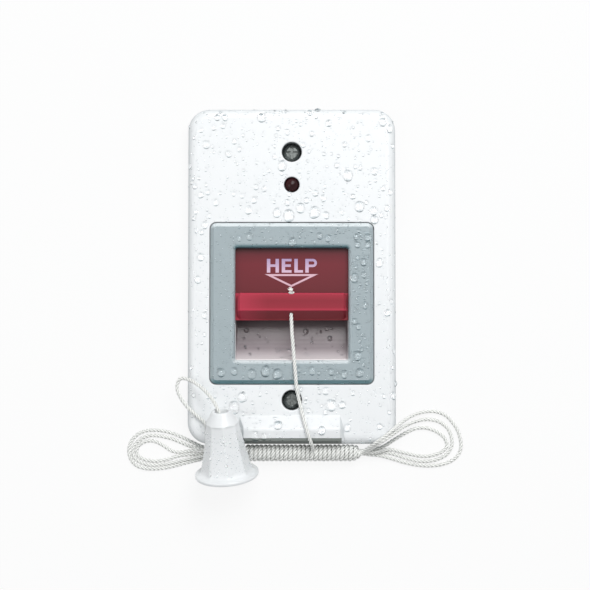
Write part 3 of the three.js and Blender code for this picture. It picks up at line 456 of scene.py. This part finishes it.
def twisted_cord(name, path, radius=CORD_RADIUS, lay=CORD_LAY, swell=1.0):
    """A cord along a line of points, its section turning with the lay. swell widens it, at each point
    where it is a list."""
    along = np.gradient(path, axis=0)
    along /= np.linalg.norm(along, axis=1)[:, None]
    side = np.cross(along[0], (0.3, 0.2, 0.9))
    sides = []
    for direction in along:
        side = side - side.dot(direction) * direction
        side /= np.linalg.norm(side)
        sides.append(side)
    sides = np.array(sides)
    ups = np.cross(along, sides)
    measured = distances(path)
    section = [(math.radians(120 * k + a), r * radius) for k in range(STRANDS) for a, r in LOBE]
    angles = np.array([a for a, _ in section])
    radii = np.array([r for _, r in section])
    turned = angles[None, :] + 2 * math.pi * measured[:, None] / lay
    spokes = np.cos(turned)[..., None] * sides[:, None] + np.sin(turned)[..., None] * ups[:, None]
    reach = radii[None, :] * np.broadcast_to(swell, len(path))[:, None]
    points = (path[:, None] + spokes * reach[..., None]).reshape(-1, 3)
    count, around = len(path), len(section)
    faces = []
    fibres = []
    width = 1 / len(LOBE)
    for i in range(count - 1):
        for j in range(around):
            after = (j + 1) % around
            low, high = i * around, (i + 1) * around
            faces.append((low + j, low + after, high + after, high + j))
            near, far = measured[i], measured[i + 1]
            fibres += [(j * width, near), ((j + 1) * width, near), ((j + 1) * width, far), (j * width, far)]
    faces.append(tuple(reversed(range(around))))
    faces.append(tuple(range((count - 1) * around, count * around)))
    fibres += [(0.5, 0.0)] * (2 * around)
    made = piece(name, points, faces, nylon)
    uv = made.data.uv_layers.new(name="fibres")
    uv.data.foreach_set("uv", np.array(fibres, float).ravel())
    return made


# The lead: from the knot in the call bar, over the bezel and the lip, down to the wrapped hank.
lead_route = [
    (-0.2, -8.1, 7.3),
    (-0.2, -13.5, 7.3),
    (0.0, -17.5, 7.8),
    (0.2, -21.0, 9.4),
    (0.7, -27.0, 9.4),
    (1.2, -33.0, 9.3),
    (1.6, -37.5, 8.8),
    (2.4, -41.5, 8.45),
    (3.1, -44.5, 8.5),
    (3.9, -47.6, 9.3),
    (4.8, -51.0, 10.65),
    (5.8, -54.2, 10.4),
    (6.4, -55.9, 9.3),
    (6.9, -57.2, 7.6),
    (7.0, -58.0, 6.5),
]
BUNDLE_Y = -59.4
BUNDLE_Z = 2.75
CORE_RADIUS = 0.85
WRAP_RADIUS = 2.1
WRAP_PITCH = 1.45
WRAP_RIGHT = 22.2
WRAP_LEFT = -14.9
FLOOR_Z = 0.66  # centre of a cord that lies on the floor


def core_run(number, start, end):
    """One pass of the cord through the wrapped middle, beside the other five."""
    angle = math.radians(60 * number + 30)
    y = BUNDLE_Y + CORE_RADIUS * math.cos(angle)
    z = BUNDLE_Z + CORE_RADIUS * math.sin(angle)
    return [(start + (end - start) * t, y, z) for t in (0, 0.25, 0.5, 0.75, 1)]


def drawn_in():
    """The last pass through the middle curls out round the others to the first wrap."""
    curl = [(-56, 0.85, 21.3), (34, 0.95, 22.1), (124, 1.2, 22.35)]
    made = []
    for degrees, radius, x in curl:
        angle = math.radians(degrees)
        made.append((x, BUNDLE_Y + radius * math.cos(angle), BUNDLE_Z + radius * math.sin(angle)))
    return made


def wraps():
    """The turns round the middle, from the right end to the left. The last few at the right draw in."""
    turns = (WRAP_RIGHT - WRAP_LEFT) / WRAP_PITCH
    last = math.radians(65)
    steps = int(turns * 18)
    made = []
    for i in range(steps + 1):
        share = i / steps
        angle = last - 2 * math.pi * turns * (1 - share)
        radius = WRAP_RADIUS - 0.45 * max(0, 1 - share * turns / 1.5)
        x = WRAP_RIGHT + (WRAP_LEFT - WRAP_RIGHT) * share
        made.append((x, BUNDLE_Y + radius * math.cos(angle), BUNDLE_Z + radius * math.sin(angle)))
    return made


def laid(points):
    """Route points, with those that give no height lying on the floor."""
    return [(*p, FLOOR_Z) if len(p) == 2 else p for p in points]


# The outer, middle and inner loop at each end, as the photograph shows them. The two outer ones on the
# right climb over the corner of the plate.
right_outer = laid(
    [
        (24.6, -58.4, 4.2),
        (26.6, -56.9, 6.4),
        (28.6, -55.5, 7.8),
        (30.6, -54.1, 8.1),
        (32.7, -52.5, 7.85),
        (35.0, -50.6, 6.7),
        (37.8, -48.5, 4.6),
        (41.0, -46.7, 2.4),
        (44.5, -45.7, 1.0),
        (48.1, -45.5),
        (51.8, -46.8),
        (54.2, -49.2),
        (56.0, -52.1),
        (56.9, -55.3),
        (57.0, -57.8),
        (56.0, -60.2),
        (53.6, -62.2),
        (50.2, -63.4),
        (46.1, -63.8),
        (42.0, -63.5),
        (38.0, -62.7),
        (33.9, -61.5, 0.8),
        (29.8, -60.4, 1.6),
        (26.0, -60.0, 2.1),
    ]
)
left_outer = laid(
    [
        (-17.5, -60.6, 1.6),
        (-22.0, -61.0, 0.8),
        (-29.5, -61.5),
        (-33.7, -62.3),
        (-37.6, -63.3),
        (-42.2, -64.4),
        (-46.0, -64.8),
        (-49.8, -64.6),
        (-52.6, -63.5),
        (-54.3, -61.4),
        (-54.9, -58.7),
        (-54.3, -56.0),
        (-52.6, -53.7),
        (-49.8, -52.2),
        (-46.0, -51.8),
        (-41.4, -52.5),
        (-37.6, -53.9),
        (-33.7, -55.8),
        (-29.5, -57.6),
        (-24.0, -58.1, 0.8),
        (-18.5, -58.6, 1.6),
    ]
)
right_middle = laid(
    [
        (24.9, -58.9, 3.6),
        (27.5, -57.3, 5.9),
        (30.1, -55.5, 7.7),
        (32.4, -54.0, 7.5),
        (34.7, -52.5, 6.2),
        (38.0, -50.4, 3.9),
        (42.0, -48.8, 1.7),
        (45.7, -48.2, 0.8),
        (49.7, -49.0),
        (52.6, -51.3),
        (53.8, -54.1),
        (53.9, -57.0),
        (52.2, -59.9),
        (48.1, -61.9),
        (44.1, -62.3),
        (40.1, -61.7),
        (35.9, -60.4, 0.8),
        (31.9, -59.4, 1.4),
        (27.5, -59.3, 2.2),
    ]
)
left_middle = laid(
    [
        (-18.5, -60.4, 2.0),
        (-24.0, -60.4, 1.95),
        (-29.8, -60.5, 1.7),
        (-34.5, -61.4, 1.1),
        (-39.5, -62.6, 0.75),
        (-44.1, -63.4),
        (-48.7, -63.4),
        (-51.4, -62.4),
        (-53.2, -60.9),
        (-53.6, -59.0),
        (-53.0, -56.8),
        (-49.9, -54.2),
        (-46.0, -53.6),
        (-40.2, -54.8),
        (-34.5, -57.1, 0.9),
        (-29.1, -58.7, 1.7),
        (-24.0, -59.1, 1.95),
        (-18.5, -59.1, 2.2),
    ]
)
right_inner = laid(
    [
        (25.5, -58.9, 2.9),
        (28.0, -58.3, 2.3),
        (31.0, -57.2, 1.5),
        (34.7, -54.9, 1.0),
        (38.8, -52.5, 0.75),
        (42.0, -51.2),
        (45.3, -51.1),
        (49.3, -52.6),
        (51.6, -54.7),
        (52.3, -57.0),
        (50.8, -58.9),
        (47.8, -60.2),
        (44.1, -60.6),
        (38.0, -59.5, 0.8),
        (32.7, -58.3, 1.9),
        (28.0, -59.2, 3.2),
    ]
)
left_inner = laid(
    [
        (-18.5, -59.8, 0.9),
        (-24.0, -59.6),
        (-34.5, -60.0),
        (-38.3, -60.5),
        (-42.2, -61.7),
        (-46.5, -62.2),
        (-49.8, -61.6),
        (-51.9, -60.3),
        (-52.3, -58.8),
        (-51.6, -57.0),
        (-49.6, -55.7),
        (-47.0, -55.4),
        (-44.1, -56.5),
        (-40.6, -58.7),
        (-38.3, -59.2),
        (-34.5, -58.8, 0.8),
        (-29.0, -58.1, 1.9),
        (-24.0, -57.9, 2.0),
        (-18.5, -58.8, 2.3),
    ]
)
# The tail: from the last wrap under the bell, up over the edge of the plate and into the bell's mouth.
tail_route = [
    (-15.8, -59.35, 4.9),
    (-17.2, -59.9, 4.45),
    (-19.0, -59.9, 3.8),
    (-21.5, -59.6, 3.45),
    (-24.0, -59.2, 3.4),
    (-26.2, -59.0, 3.7),
    (-27.5, -58.3, 4.6),
    (-27.8, -57.3, 5.9),
    (-27.7, -56.0, 7.2),
    (-27.7, -53.6, 8.2),
    (-28.0, -51.4, 8.25),
    (-29.0, -49.3, 8.3),
    (-31.2, -47.3, 8.4),
    (-34.3, -44.5, 8.4),
    (-36.9, -41.2, 8.4),
    (-38.3, -37.4, 8.4),
    (-37.2, -34.6, 8.9),
    (-34.4, -34.8, 10.2),
    (-30.9, -36.8, 12.8),
    (-27.6, -39.6, 15.9),
    (-25.6, -42.2, 17.5),
    (-24.1, -45.4, 17.5),
    (-23.3, -48.6, 16.4),
    (-22.97, -51.4, 15.4),
    (-22.78, -53.4, 14.69),
    (-22.6, -55.2, 14.06),
]
hank_route = [
    lead_route[-1],
    (7.05, -58.6, 5.4),
    (7.7, -59.1, 4.1),
    (9.4, -59.4, 3.0),
    (12.0, -59.4, 2.75),
    (17.0, -59.4, 2.75),
    (21.5, -59.4, 2.9),
    *right_outer,
    *core_run(4, 22.0, -13.5),
    *left_outer,
    *core_run(1, -13.5, 22.0),
    *right_middle,
    *core_run(5, 22.0, -13.5),
    *left_middle,
    *core_run(2, -13.5, 22.0),
    *right_inner,
    *core_run(0, 22.0, -13.5),
    *left_inner,
    *core_run(3, -13.5, 19.0),
    *drawn_in(),
    *wraps(),
    *tail_route,
]

lead_path = smooth_path(lead_route, 0.25)
lead = twisted_cord("cord_lead_twisted", lead_path)
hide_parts("cord_lead")
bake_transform(lead)

WRAP_SWELL = 1.19  # the turns press on each other, so the cord is a little fatter there
WRAP_REACH = (1.5, 2.4)  # how near and how far a turn's centre lies from the axis of the bundle

hank_path = smooth_path(hank_route, 0.34)
from_axis = np.hypot(hank_path[:, 1] - BUNDLE_Y, hank_path[:, 2] - BUNDLE_Z)
turning = (from_axis > WRAP_REACH[0]) & (from_axis < WRAP_REACH[1])
wrapped = turning & (hank_path[:, 0] > WRAP_LEFT) & (hank_path[:, 0] < WRAP_RIGHT)
hank = twisted_cord("cord_hank_twisted", hank_path, swell=np.where(wrapped, WRAP_SWELL, 1.0))
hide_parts("cord_hank", "cord_tail")
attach(hank, "station")


def knotted(name, centre, reach, radius, body, node):
    """A tight overhand knot of the same cord, as a closed trefoil within reach of its centre."""
    t = np.linspace(0, 2 * math.pi, 73)
    bend = (reach - radius) / 3
    loop = np.column_stack(
        [np.sin(t) + 2 * np.sin(2 * t), 1.6 * np.sin(3 * t), np.cos(t) - 2 * np.cos(2 * t)]
    )
    made = twisted_cord(name, np.array(centre) + bend * loop, radius, 2.4)
    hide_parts(node)
    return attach(made, body)


knotted("cord_knot_tied", (-0.2, -6.3, 7.3), 1.42, 0.52, "slider", "cord_knot")


def frayed_end():
    """The melted and frayed end of the cord, standing out of the knot at the top of the bar."""
    points, faces = [], []
    tips = [
        (-1.5, -4.5, 8.6),
        (-0.9, -4.0, 9.0),
        (-0.3, -3.9, 8.4),
        (0.35, -4.4, 8.8),
        (0.3, -5.0, 9.2),
        (-1.3, -5.1, 9.1),
    ]
    sides, steps = 7, 5
    for number, tip in enumerate(tips):
        root = np.array((-0.35 + 0.08 * number, -5.7, 7.9))
        bow = np.array((0.0, 0.25, 0.3))
        start = len(points)
        for k in range(steps + 1):
            t = k / steps
            centre = root + (np.array(tip) - root) * t + bow * math.sin(math.pi * t)
            thick = 0.36 * (1 - 0.45 * t) if k < steps else 0.03
            for j in range(sides):
                angle = 2 * math.pi * j / sides
                points.append(centre + thick * np.array((math.cos(angle), 0.3, math.sin(angle))))
        for k in range(steps):
            for j in range(sides):
                low, after = start + k * sides, (j + 1) % sides
                faces.append((low + j, low + after, low + sides + after, low + sides + j))
        faces.append(tuple(start + j for j in reversed(range(sides))))
        faces.append(tuple(start + steps * sides + j for j in range(sides)))
    made = piece("cord_frayed_end", points, faces, nylon, "slider")
    uv = made.data.uv_layers.new(name="fibres")
    uv.data.foreach_set("uv", [0.5] * (2 * len(uv.data)))


frayed_end()

# The pull bell: a flange, an eight sided skirt, a round cap and an open mouth for the cord.
BELL_FOOT = (-21.5, -66.6, 10.054)
BELL_TILT = 19.3
BELL_YAW = 4.4
BELL_ROLL = 3.3
BELL_SIDES = 8
bell_lie = (
    Matrix.Translation(BELL_FOOT)
    @ Matrix.Rotation(math.radians(BELL_YAW), 4, "Z")
    @ Matrix.Rotation(math.radians(BELL_TILT - 90), 4, "X")
    @ Matrix.Rotation(math.radians(BELL_ROLL), 4, "Z")
)
# Radius, distance along the axis, and how flat sided the bell is there
bell_profile = [
    (2.1, 16.0, 0),
    (2.25, 16.2, 0),
    (2.25, 19.0, 0),
    (2.25, 22.4, 0),
    (2.37, 22.68, 0),
    (2.6, 22.8, 0),
    (3.0, 22.8, 0),
    (3.22, 22.7, 0),
    (3.38, 22.45, 0),
    (3.6, 22.0, 0),
    (4.3, 20.7, 0),
    (5.06, 19.3, 0),
    (5.26, 18.98, 0),
    (5.42, 18.76, 0.1),
    (5.5, 18.56, 0.5),
    (5.52, 18.36, 0.9),
    (5.56, 18.0, 1),
    (6.416, 12.2, 1),
    (7.52, 7.0, 1),
    (8.4, 2.85, 1),
    (8.62, 2.1, 0.95),
    (8.95, 1.6, 0.6),
    (9.5, 1.33, 0.2),
    (10.15, 1.22, 0),
    (10.42, 1.14, 0),
    (10.58, 0.95, 0),
    (10.6, 0.6, 0),
    (10.58, 0.25, 0),
    (10.45, 0.06, 0),
    (10.2, 0.0, 0),
    (7.4, 0.0, 0),
    (7.15, 0.2, 0),
    (6.85, 1.6, 0),
    (5.7, 7.7, 0),
    (4.58, 13.7, 0),
    (4.3, 14.0, 0),
]


def bell_radius(radius, angle, flat):
    span = 2 * math.pi / BELL_SIDES
    offset = angle % span - span / 2
    sided = min(radius * math.cos(span / 2) / math.cos(offset), radius * 0.985)
    return radius + (sided - radius) * flat


def pull_bell():
    around = 128
    points = [bell_lie @ Vector((0, 0, bell_profile[0][1]))]
    for radius, along, flat in bell_profile:
        for j in range(around):
            angle = 2 * math.pi * j / around
            reach = bell_radius(radius, angle, flat)
            points.append(bell_lie @ Vector((reach * math.cos(angle), reach * math.sin(angle), along)))
    points.append(bell_lie @ Vector((0, 0, bell_profile[-1][1])))
    faces = []
    final = len(points) - 1
    last_ring = final - around
    for j in range(around):
        after = (j + 1) % around
        faces.append((0, 1 + j, 1 + after))
        faces.append((final, last_ring + after, last_ring + j))
        for k in range(len(bell_profile) - 1):
            low, high = 1 + k * around, 1 + (k + 1) * around
            faces.append((low + j, high + j, high + after, low + after))
    made = piece("pull_bell_moulding", points, faces, bell_white, "station")
    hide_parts("pull_bell")
    return made


BELL_KNOT_ALONG = 11.7  # mm from the bell's foot, along its axis

bell = pull_bell()
bell_inside = tuple(bell_lie @ Vector((0, 0, BELL_KNOT_ALONG)))
bell_tie = knotted("bell_knot_tied", bell_inside, 1.95, 0.62, "station", "bell_knot")

# Print on the slider: the word and the arrow that points down at the bar
PANEL_Z = 5.4
INK_THICK = 0.04
CAP_HEIGHT = 4.65
STEM = 1.15
CROSS = 0.85
BASELINE = 1.1


def letter_h(w, h):
    high, low = 0.6 * h, 0.6 * h - CROSS
    left = [(0, 0), (0, h), (STEM, h), (STEM, high), (w - STEM, high), (w - STEM, h)]
    return [[*left, (w, h), (w, 0), (w - STEM, 0), (w - STEM, low), (STEM, low), (STEM, 0)]]


def letter_e(w, h):
    high, low = 0.6 * h, 0.6 * h - CROSS
    top = [(0, 0), (0, h), (w, h), (w, h - CROSS), (STEM, h - CROSS), (STEM, high), (w * 0.93, high)]
    return [[*top, (w * 0.93, low), (STEM, low), (STEM, CROSS), (w, CROSS), (w, 0)]]


def letter_l(w, h):
    return [[(0, 0), (0, h), (STEM, h), (STEM, CROSS), (w, CROSS), (w, 0)]]


def letter_p(w, h):
    bowl = 0.3 * h
    middle = h - bowl

    def half_round(radius):
        steps = [math.radians(90 - 15 * k) for k in range(13)]
        return [(w - bowl + radius * math.cos(a), middle + radius * math.sin(a)) for a in steps]

    outer = [(0, 0), (0, h), *half_round(bowl), (STEM, h - 2 * bowl), (STEM, 0)]
    inner = [(STEM, h - CROSS), *half_round(bowl - CROSS), (STEM, h - 2 * bowl + CROSS)]
    return [outer, inner]


def printed(name, outlines):
    """A thin layer of ink on the panel, from closed outlines. An outline inside another is a hole."""
    curve = bpy.data.curves.new(name, "CURVE")
    curve.dimensions = "2D"
    curve.fill_mode = "BOTH"
    curve.extrude = INK_THICK / 2 * MM
    for outline in outlines:
        spline = curve.splines.new("POLY")
        spline.points.add(len(outline) - 1)
        for mark, (x, y) in zip(spline.points, outline):
            mark.co = (x * MM, y * MM, 0, 1)
        spline.use_cyclic_u = True
    drawn = bpy.data.objects.new(name + "_drawn", curve)
    scene.collection.objects.link(drawn)
    bpy.context.view_layer.update()
    mesh = bpy.data.meshes.new_from_object(drawn)
    bpy.data.objects.remove(drawn)
    mesh.transform(Matrix.Translation((0, 0, (PANEL_Z + INK_THICK / 2 - 0.01) * MM)))
    mesh.materials.clear()
    mesh.materials.append(ink)
    made = bpy.data.objects.new(name, mesh)
    scene.collection.objects.link(made)
    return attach(made, "slider")


letters = [(letter_h, -8.38, 4.05), (letter_e, -3.4, 3.3), (letter_l, 0.85, 2.9), (letter_p, 4.53, 3.92)]
word = []
for draw, left, width in letters:
    for outline in draw(width, CAP_HEIGHT):
        word.append([(left + x, BASELINE + y) for x, y in outline])
printed("help_lettering", word)

ARROW_LINE = 0.63
arrow = [(-9.1, 0.6), (8.85, 0.6), (-0.15, ARROW_TIP_Y)]


def inset(corners, by):
    """A smaller triangle whose sides lie by millimetres inside the given ones."""
    p = [np.array(c) for c in corners]
    sides = [np.linalg.norm(p[(i + 1) % 3] - p[(i + 2) % 3]) for i in range(3)]
    around = sum(sides)
    centre = sum(s * c for s, c in zip(sides, p)) / around
    area = abs(np.linalg.det(np.array([p[1] - p[0], p[2] - p[0]]))) / 2
    share = 1 - by * around / (2 * area)
    return [tuple(centre + (c - centre) * share) for c in p]


printed("help_arrow", [arrow, inset(arrow, ARROW_LINE)])

# Water beads
rng = random.Random(590)
WATER_SINK = 0.04  # how far a bead's foot is below the skin it sits on, as a share of its radius


def tree_of(*names):
    points, faces = [], []
    for name in names:
        mesh = frame["nodes"][name].data
        first = len(points)
        points += [v.co.copy() for v in mesh.vertices]
        faces += [[first + i for i in p.vertices] for p in mesh.polygons]
    return BVHTree.FromPolygons(points, faces)


housing_tree = tree_of("front_housing")
bezel_tree = tree_of("bezel_frame")
bell_points = [v.co.copy() for v in bell.data.vertices]
bell_tree = BVHTree.FromPolygons(bell_points, [list(p.vertices) for p in bell.data.polygons])
cord_points = np.vstack([lead_path, hank_path])
cord_tree = KDTree(len(cord_points))
for number, p in enumerate(cord_points):
    cord_tree.insert(Vector(p) * MM, number)
cord_tree.balance()


def landing(tree, start, heading, radius):
    """Where a bead of that radius sits, or None where the skin under it isn't even."""
    place, normal, _, _ = tree.ray_cast(start, heading)
    if place is None or normal.dot(heading) > -0.35:
        return None
    side = normal.orthogonal().normalized()
    other = normal.cross(side)
    for a, b in ((1, 0), (-1, 0), (0, 1), (0, -1)):
        rim = place + (side * a + other * b) * radius + normal * MM
        touch, _, _, gap = tree.ray_cast(rim, -normal)
        if touch is None or abs(gap - MM) > 0.22 * radius + 0.03 * MM:
            return None
    return place, normal


class Beads:
    """Gathers beads into one mesh."""

    def __init__(self):
        self.points, self.faces, self.spots = [], [], []

    def clear_of(self, place, radius):
        for other, size in self.spots:
            if (place - other).length < 1.02 * (radius + size):
                return False
        return cord_tree.find(place)[2] > radius + (CORD_RADIUS + 0.1) * MM

    def drop(self, place, normal, radius, plump):
        """One low dome with a slightly uneven foot, longer down the plate when it is large."""
        self.spots.append((place, radius))
        size = radius / MM
        around = 20 if size > 0.7 else 12 if size > 0.32 else 8
        rings = 6 if size > 0.7 else 4 if size > 0.32 else 3
        side = normal.cross(Vector((0, 1, 0.001))).normalized()
        down = normal.cross(side)
        phase, wave = rng.uniform(0, 6.28), rng.uniform(0.01, 0.07)
        long = 1 + (rng.uniform(0.0, 0.22) if size > 0.6 else rng.uniform(-0.05, 0.08))
        first = len(self.points)
        contact = math.radians(38 + 40 * plump)
        ball = radius / math.sin(contact)
        for k in range(rings):
            tilt_here = contact * (1 - k / rings)
            reach = ball * math.sin(tilt_here)
            height = ball * (math.cos(tilt_here) - math.cos(contact)) - WATER_SINK * radius
            for j in range(around):
                angle = 2 * math.pi * j / around
                wavy = 1 + wave * math.sin(2 * angle + phase)
                wavy += wave * 0.6 * math.sin(3 * angle - phase)
                across = side * (reach * wavy * math.cos(angle))
                lengthwise = down * (reach * wavy * long * math.sin(angle))
                self.points.append((place + across + lengthwise + normal * height) / MM)
        crown = place + normal * (ball * (1 - math.cos(contact)) - WATER_SINK * radius)
        self.points.append(crown / MM)
        top = len(self.points) - 1
        self.faces.append([first + j for j in reversed(range(around))])
        for k in range(rings - 1):
            for j in range(around):
                low, after = first + k * around, (j + 1) % around
                self.faces.append([low + j, low + after, low + around + after, low + around + j])
        for j in range(around):
            low = first + (rings - 1) * around
            self.faces.append([low + j, low + (j + 1) % around, top])

    def made(self, name):
        return piece(name, self.points, self.faces, droplet, "station")


def scatter(beads, tree, sizes, spot, tries, near_bell=True):
    """Drops beads of each size class. spot() gives a start and a heading for the ray that places one."""
    for low, high, count, plump in sizes:
        left = count
        for _ in range(count * tries):
            if not left:
                break
            radius = low * (high / low) ** rng.random() * MM
            start, heading = spot()
            found = landing(tree, start, heading, radius)
            if not found or not beads.clear_of(found[0], radius):
                continue
            if near_bell and bell_tree.find_nearest(found[0])[3] < radius * 1.3 + 0.2 * MM:
                continue
            beads.drop(*found, radius, plump * rng.uniform(0.7, 1.2))
            left -= 1


DOWN = Vector((0, 0, -1))


def over(x0, x1, y0, y1):
    """A spot source for rays straight down on a rectangle."""
    return lambda: (Vector((rng.uniform(x0, x1), rng.uniform(y0, y1), 30)) * MM, DOWN)


half_width, half_height = PLATE_WIDTH / 2, PLATE_HEIGHT / 2
# Beads on the plate keep outside these, in mm
BEZEL_SIDE = 27.9
BEZEL_TOP = 18.3
BEZEL_FOOT = -36.9
SCREW_Y = 41.67
WELL_CLEAR = 4.0
LAMP_Y = 30.6
LAMP_CLEAR = 3.2


def over_plate():
    """A spot on the plate, outside the bezel, the screw wells and the lamp."""
    while True:
        x = rng.uniform(-half_width, half_width)
        y = rng.uniform(-half_height, half_height)
        if abs(x) > BEZEL_SIDE or y > BEZEL_TOP or y < BEZEL_FOOT:
            from_wells = min(math.hypot(x, y - SCREW_Y), math.hypot(x, y + SCREW_Y))
            if from_wells > WELL_CLEAR and math.hypot(x, y - LAMP_Y) > LAMP_CLEAR:
                return Vector((x, y, 30)) * MM, DOWN


plate_beads = Beads()
plate_sizes = [(1.3, 2.1, 22, 0.5), (0.75, 1.3, 75, 0.55), (0.42, 0.75, 170, 0.65), (0.14, 0.42, 900, 0.8)]
scatter(plate_beads, housing_tree, plate_sizes, over_plate, 12)
plate_beads.made("water_on_plate")

pocket_beads = Beads()
pocket_sizes = [(0.6, 1.0, 9, 0.5), (0.3, 0.6, 26, 0.6)]
scatter(pocket_beads, housing_tree, pocket_sizes, over(-17.5, 17.5, -27.6, -17.0), 30)
pocket_beads.made("water_in_pocket")

bezel_beads = Beads()
foot_row = over(-24.0, 24.0, -34.8, -31.4)
right_side = over(20.6, 26.4, -34.0, 15.5)
top_row = over(-24.0, 25.0, 10.8, 16.4)
anywhere = over(-27.2, 27.2, -36.2, 17.5)
scatter(bezel_beads, bezel_tree, [(1.2, 1.8, 9, 0.75), (0.5, 0.9, 14, 0.8)], foot_row, 40)
scatter(bezel_beads, bezel_tree, [(1.0, 1.6, 11, 0.8), (0.45, 0.8, 34, 0.85)], right_side, 40)
scatter(bezel_beads, bezel_tree, [(1.0, 1.5, 5, 0.75), (0.4, 0.7, 20, 0.8)], top_row, 40)
scatter(bezel_beads, bezel_tree, [(0.3, 0.5, 130, 0.85), (0.14, 0.3, 700, 0.9)], anywhere, 20)
bezel_beads.made("water_on_bezel")


def round_bell():
    """A spot on the skirt of the bell, seen from outside it."""
    angle, along = rng.uniform(0, 2 * math.pi), rng.uniform(2.4, 16.4)
    out = Vector((math.cos(angle), math.sin(angle), 0))
    start = bell_lie @ (out * 14 + Vector((0, 0, along)))
    return start * MM, (bell_lie.to_3x3() @ -out).normalized()


bell_beads = Beads()
bell_sizes = [(0.4, 0.62, 70, 0.6), (0.16, 0.4, 420, 0.8)]
scatter(bell_beads, bell_tree, bell_sizes, round_bell, 12, near_bell=False)
bell_beads.made("water_on_bell")

# Materials of the nodes that stay as they are in the CAD
slot_finish = {
    "white_plastic": white_abs(),
    "bezel_plastic": tinted_abs(),
    "red_plastic": red_abs(),
    "dark_red_lens": lamp_epoxy(),
    "plated_steel": metal("zinc_steel", "#B4B8BA", "#8E9294", 0.32, 1.5),
    "magnet_nickel": metal("nickel_magnet", "#9A9D9F", "#85888A", 0.22, 2.5),
    "black_rubber": soft_rubber("black_rubber", "#1A1B1D", "#2A2B2D", 0.4, 0.04),
    "foam": soft_rubber("gasket_foam", "#343639", "#4A4C50", 0.7, 0.25),
    "board_green": board_mask(),
    "reed_glass": reed_glass(),
    "terminal_green": terminal_polyamide(),
    "grey_plastic": grey_abs(),
    "cord_fibre": nylon,
}
# The two long screws are blackened: they read as dark steel at the foot of their wells.
black_steel = metal("black_steel", "#8E9391", "#26292A", 0.26, 1.1)
for row in frame["record"]["subparts"]:
    finish_here = slot_finish[row["material_slot"]]
    if row["node"].startswith("mounting_screw"):
        finish_here = black_steel
    part = frame["nodes"][row["node"]]
    part.data.materials.clear()
    part.data.materials.append(finish_here)


# Studio: a white floor with a hole that the module drops through, a soft key light from above the top of
# the plate and a weaker one from its left
PAPER_GLOW = 0.88  # how much of the floor's own shade is lit out


def sees_paper(tree):
    """One for a ray that meets the paper straight, in a gloss or through water, and nought for others."""
    rays = add(tree, "ShaderNodeLightPath").outputs
    seen = worked(tree, "MAXIMUM", rays["Is Camera Ray"], rays["Is Glossy Ray"])
    return worked(tree, "MAXIMUM", seen, rays["Is Transmission Ray"])


def studio_floor():
    reach, gap_x, gap_y = 3000.0, 24.0, 36.0
    rows = [-reach, -gap_y, gap_y, reach]
    columns = [-reach, -gap_x, gap_x, reach]
    points = [(x, y, 0.0) for y in rows for x in columns]
    faces = []
    for j in range(3):
        for i in range(3):
            if (i, j) != (1, 1):
                low = 4 * j + i
                faces.append((low, low + 1, low + 5, low + 4))
    made, tree, shader = finish("studio_paper", Base_Color=linear("#E9EAEA"), Roughness=0.9)
    share = worked(tree, "MULTIPLY", sees_paper(tree), PAPER_GLOW)
    glow = add(tree, "ShaderNodeEmission", {"Color": linear("#FFFFFF"), "Strength": 1.0})
    lit = add(tree, "ShaderNodeMixShader", {0: share, 1: shader.outputs[0], 2: glow.outputs[0]})
    under = add(tree, "ShaderNodeNewGeometry").outputs["Backfacing"]
    clear = add(tree, "ShaderNodeBsdfTransparent")
    both = add(tree, "ShaderNodeMixShader", {0: under, 1: lit.outputs[0], 2: clear.outputs[0]})
    tree.links.new(both.outputs[0], tree.nodes["Material Output"].inputs["Surface"])
    floor = piece("studio_floor", points, faces, made)


studio_floor()

world = bpy.data.worlds.new("studio")
scene.world = world
world.use_nodes = True
sky = world.node_tree
fill = sky.nodes["Background"]
fill.inputs["Color"].default_value = linear("#F3F5F6")
fill.inputs["Strength"].default_value = 0.4
paper = add(sky, "ShaderNodeBackground", {"Color": linear("#FFFFFF"), "Strength": 1.0})
both = add(sky, "ShaderNodeMixShader", {0: sees_paper(sky), 1: fill.outputs[0], 2: paper.outputs[0]})
sky.links.new(both.outputs[0], sky.nodes["World Output"].inputs["Surface"])


def soft_light(name, place, size, power):
    made = bpy.data.objects.new(name, bpy.data.lights.new(name, "AREA"))
    made.data.size = size
    made.data.energy = power
    scene.collection.objects.link(made)
    point_at(made, place, (0, 0, 0))


soft_light("key_light", (0.18, 0.4, 0.7), 0.5, 4.9)
soft_light("fill_light", (-0.5, -0.1, 0.7), 0.5, 1.1)
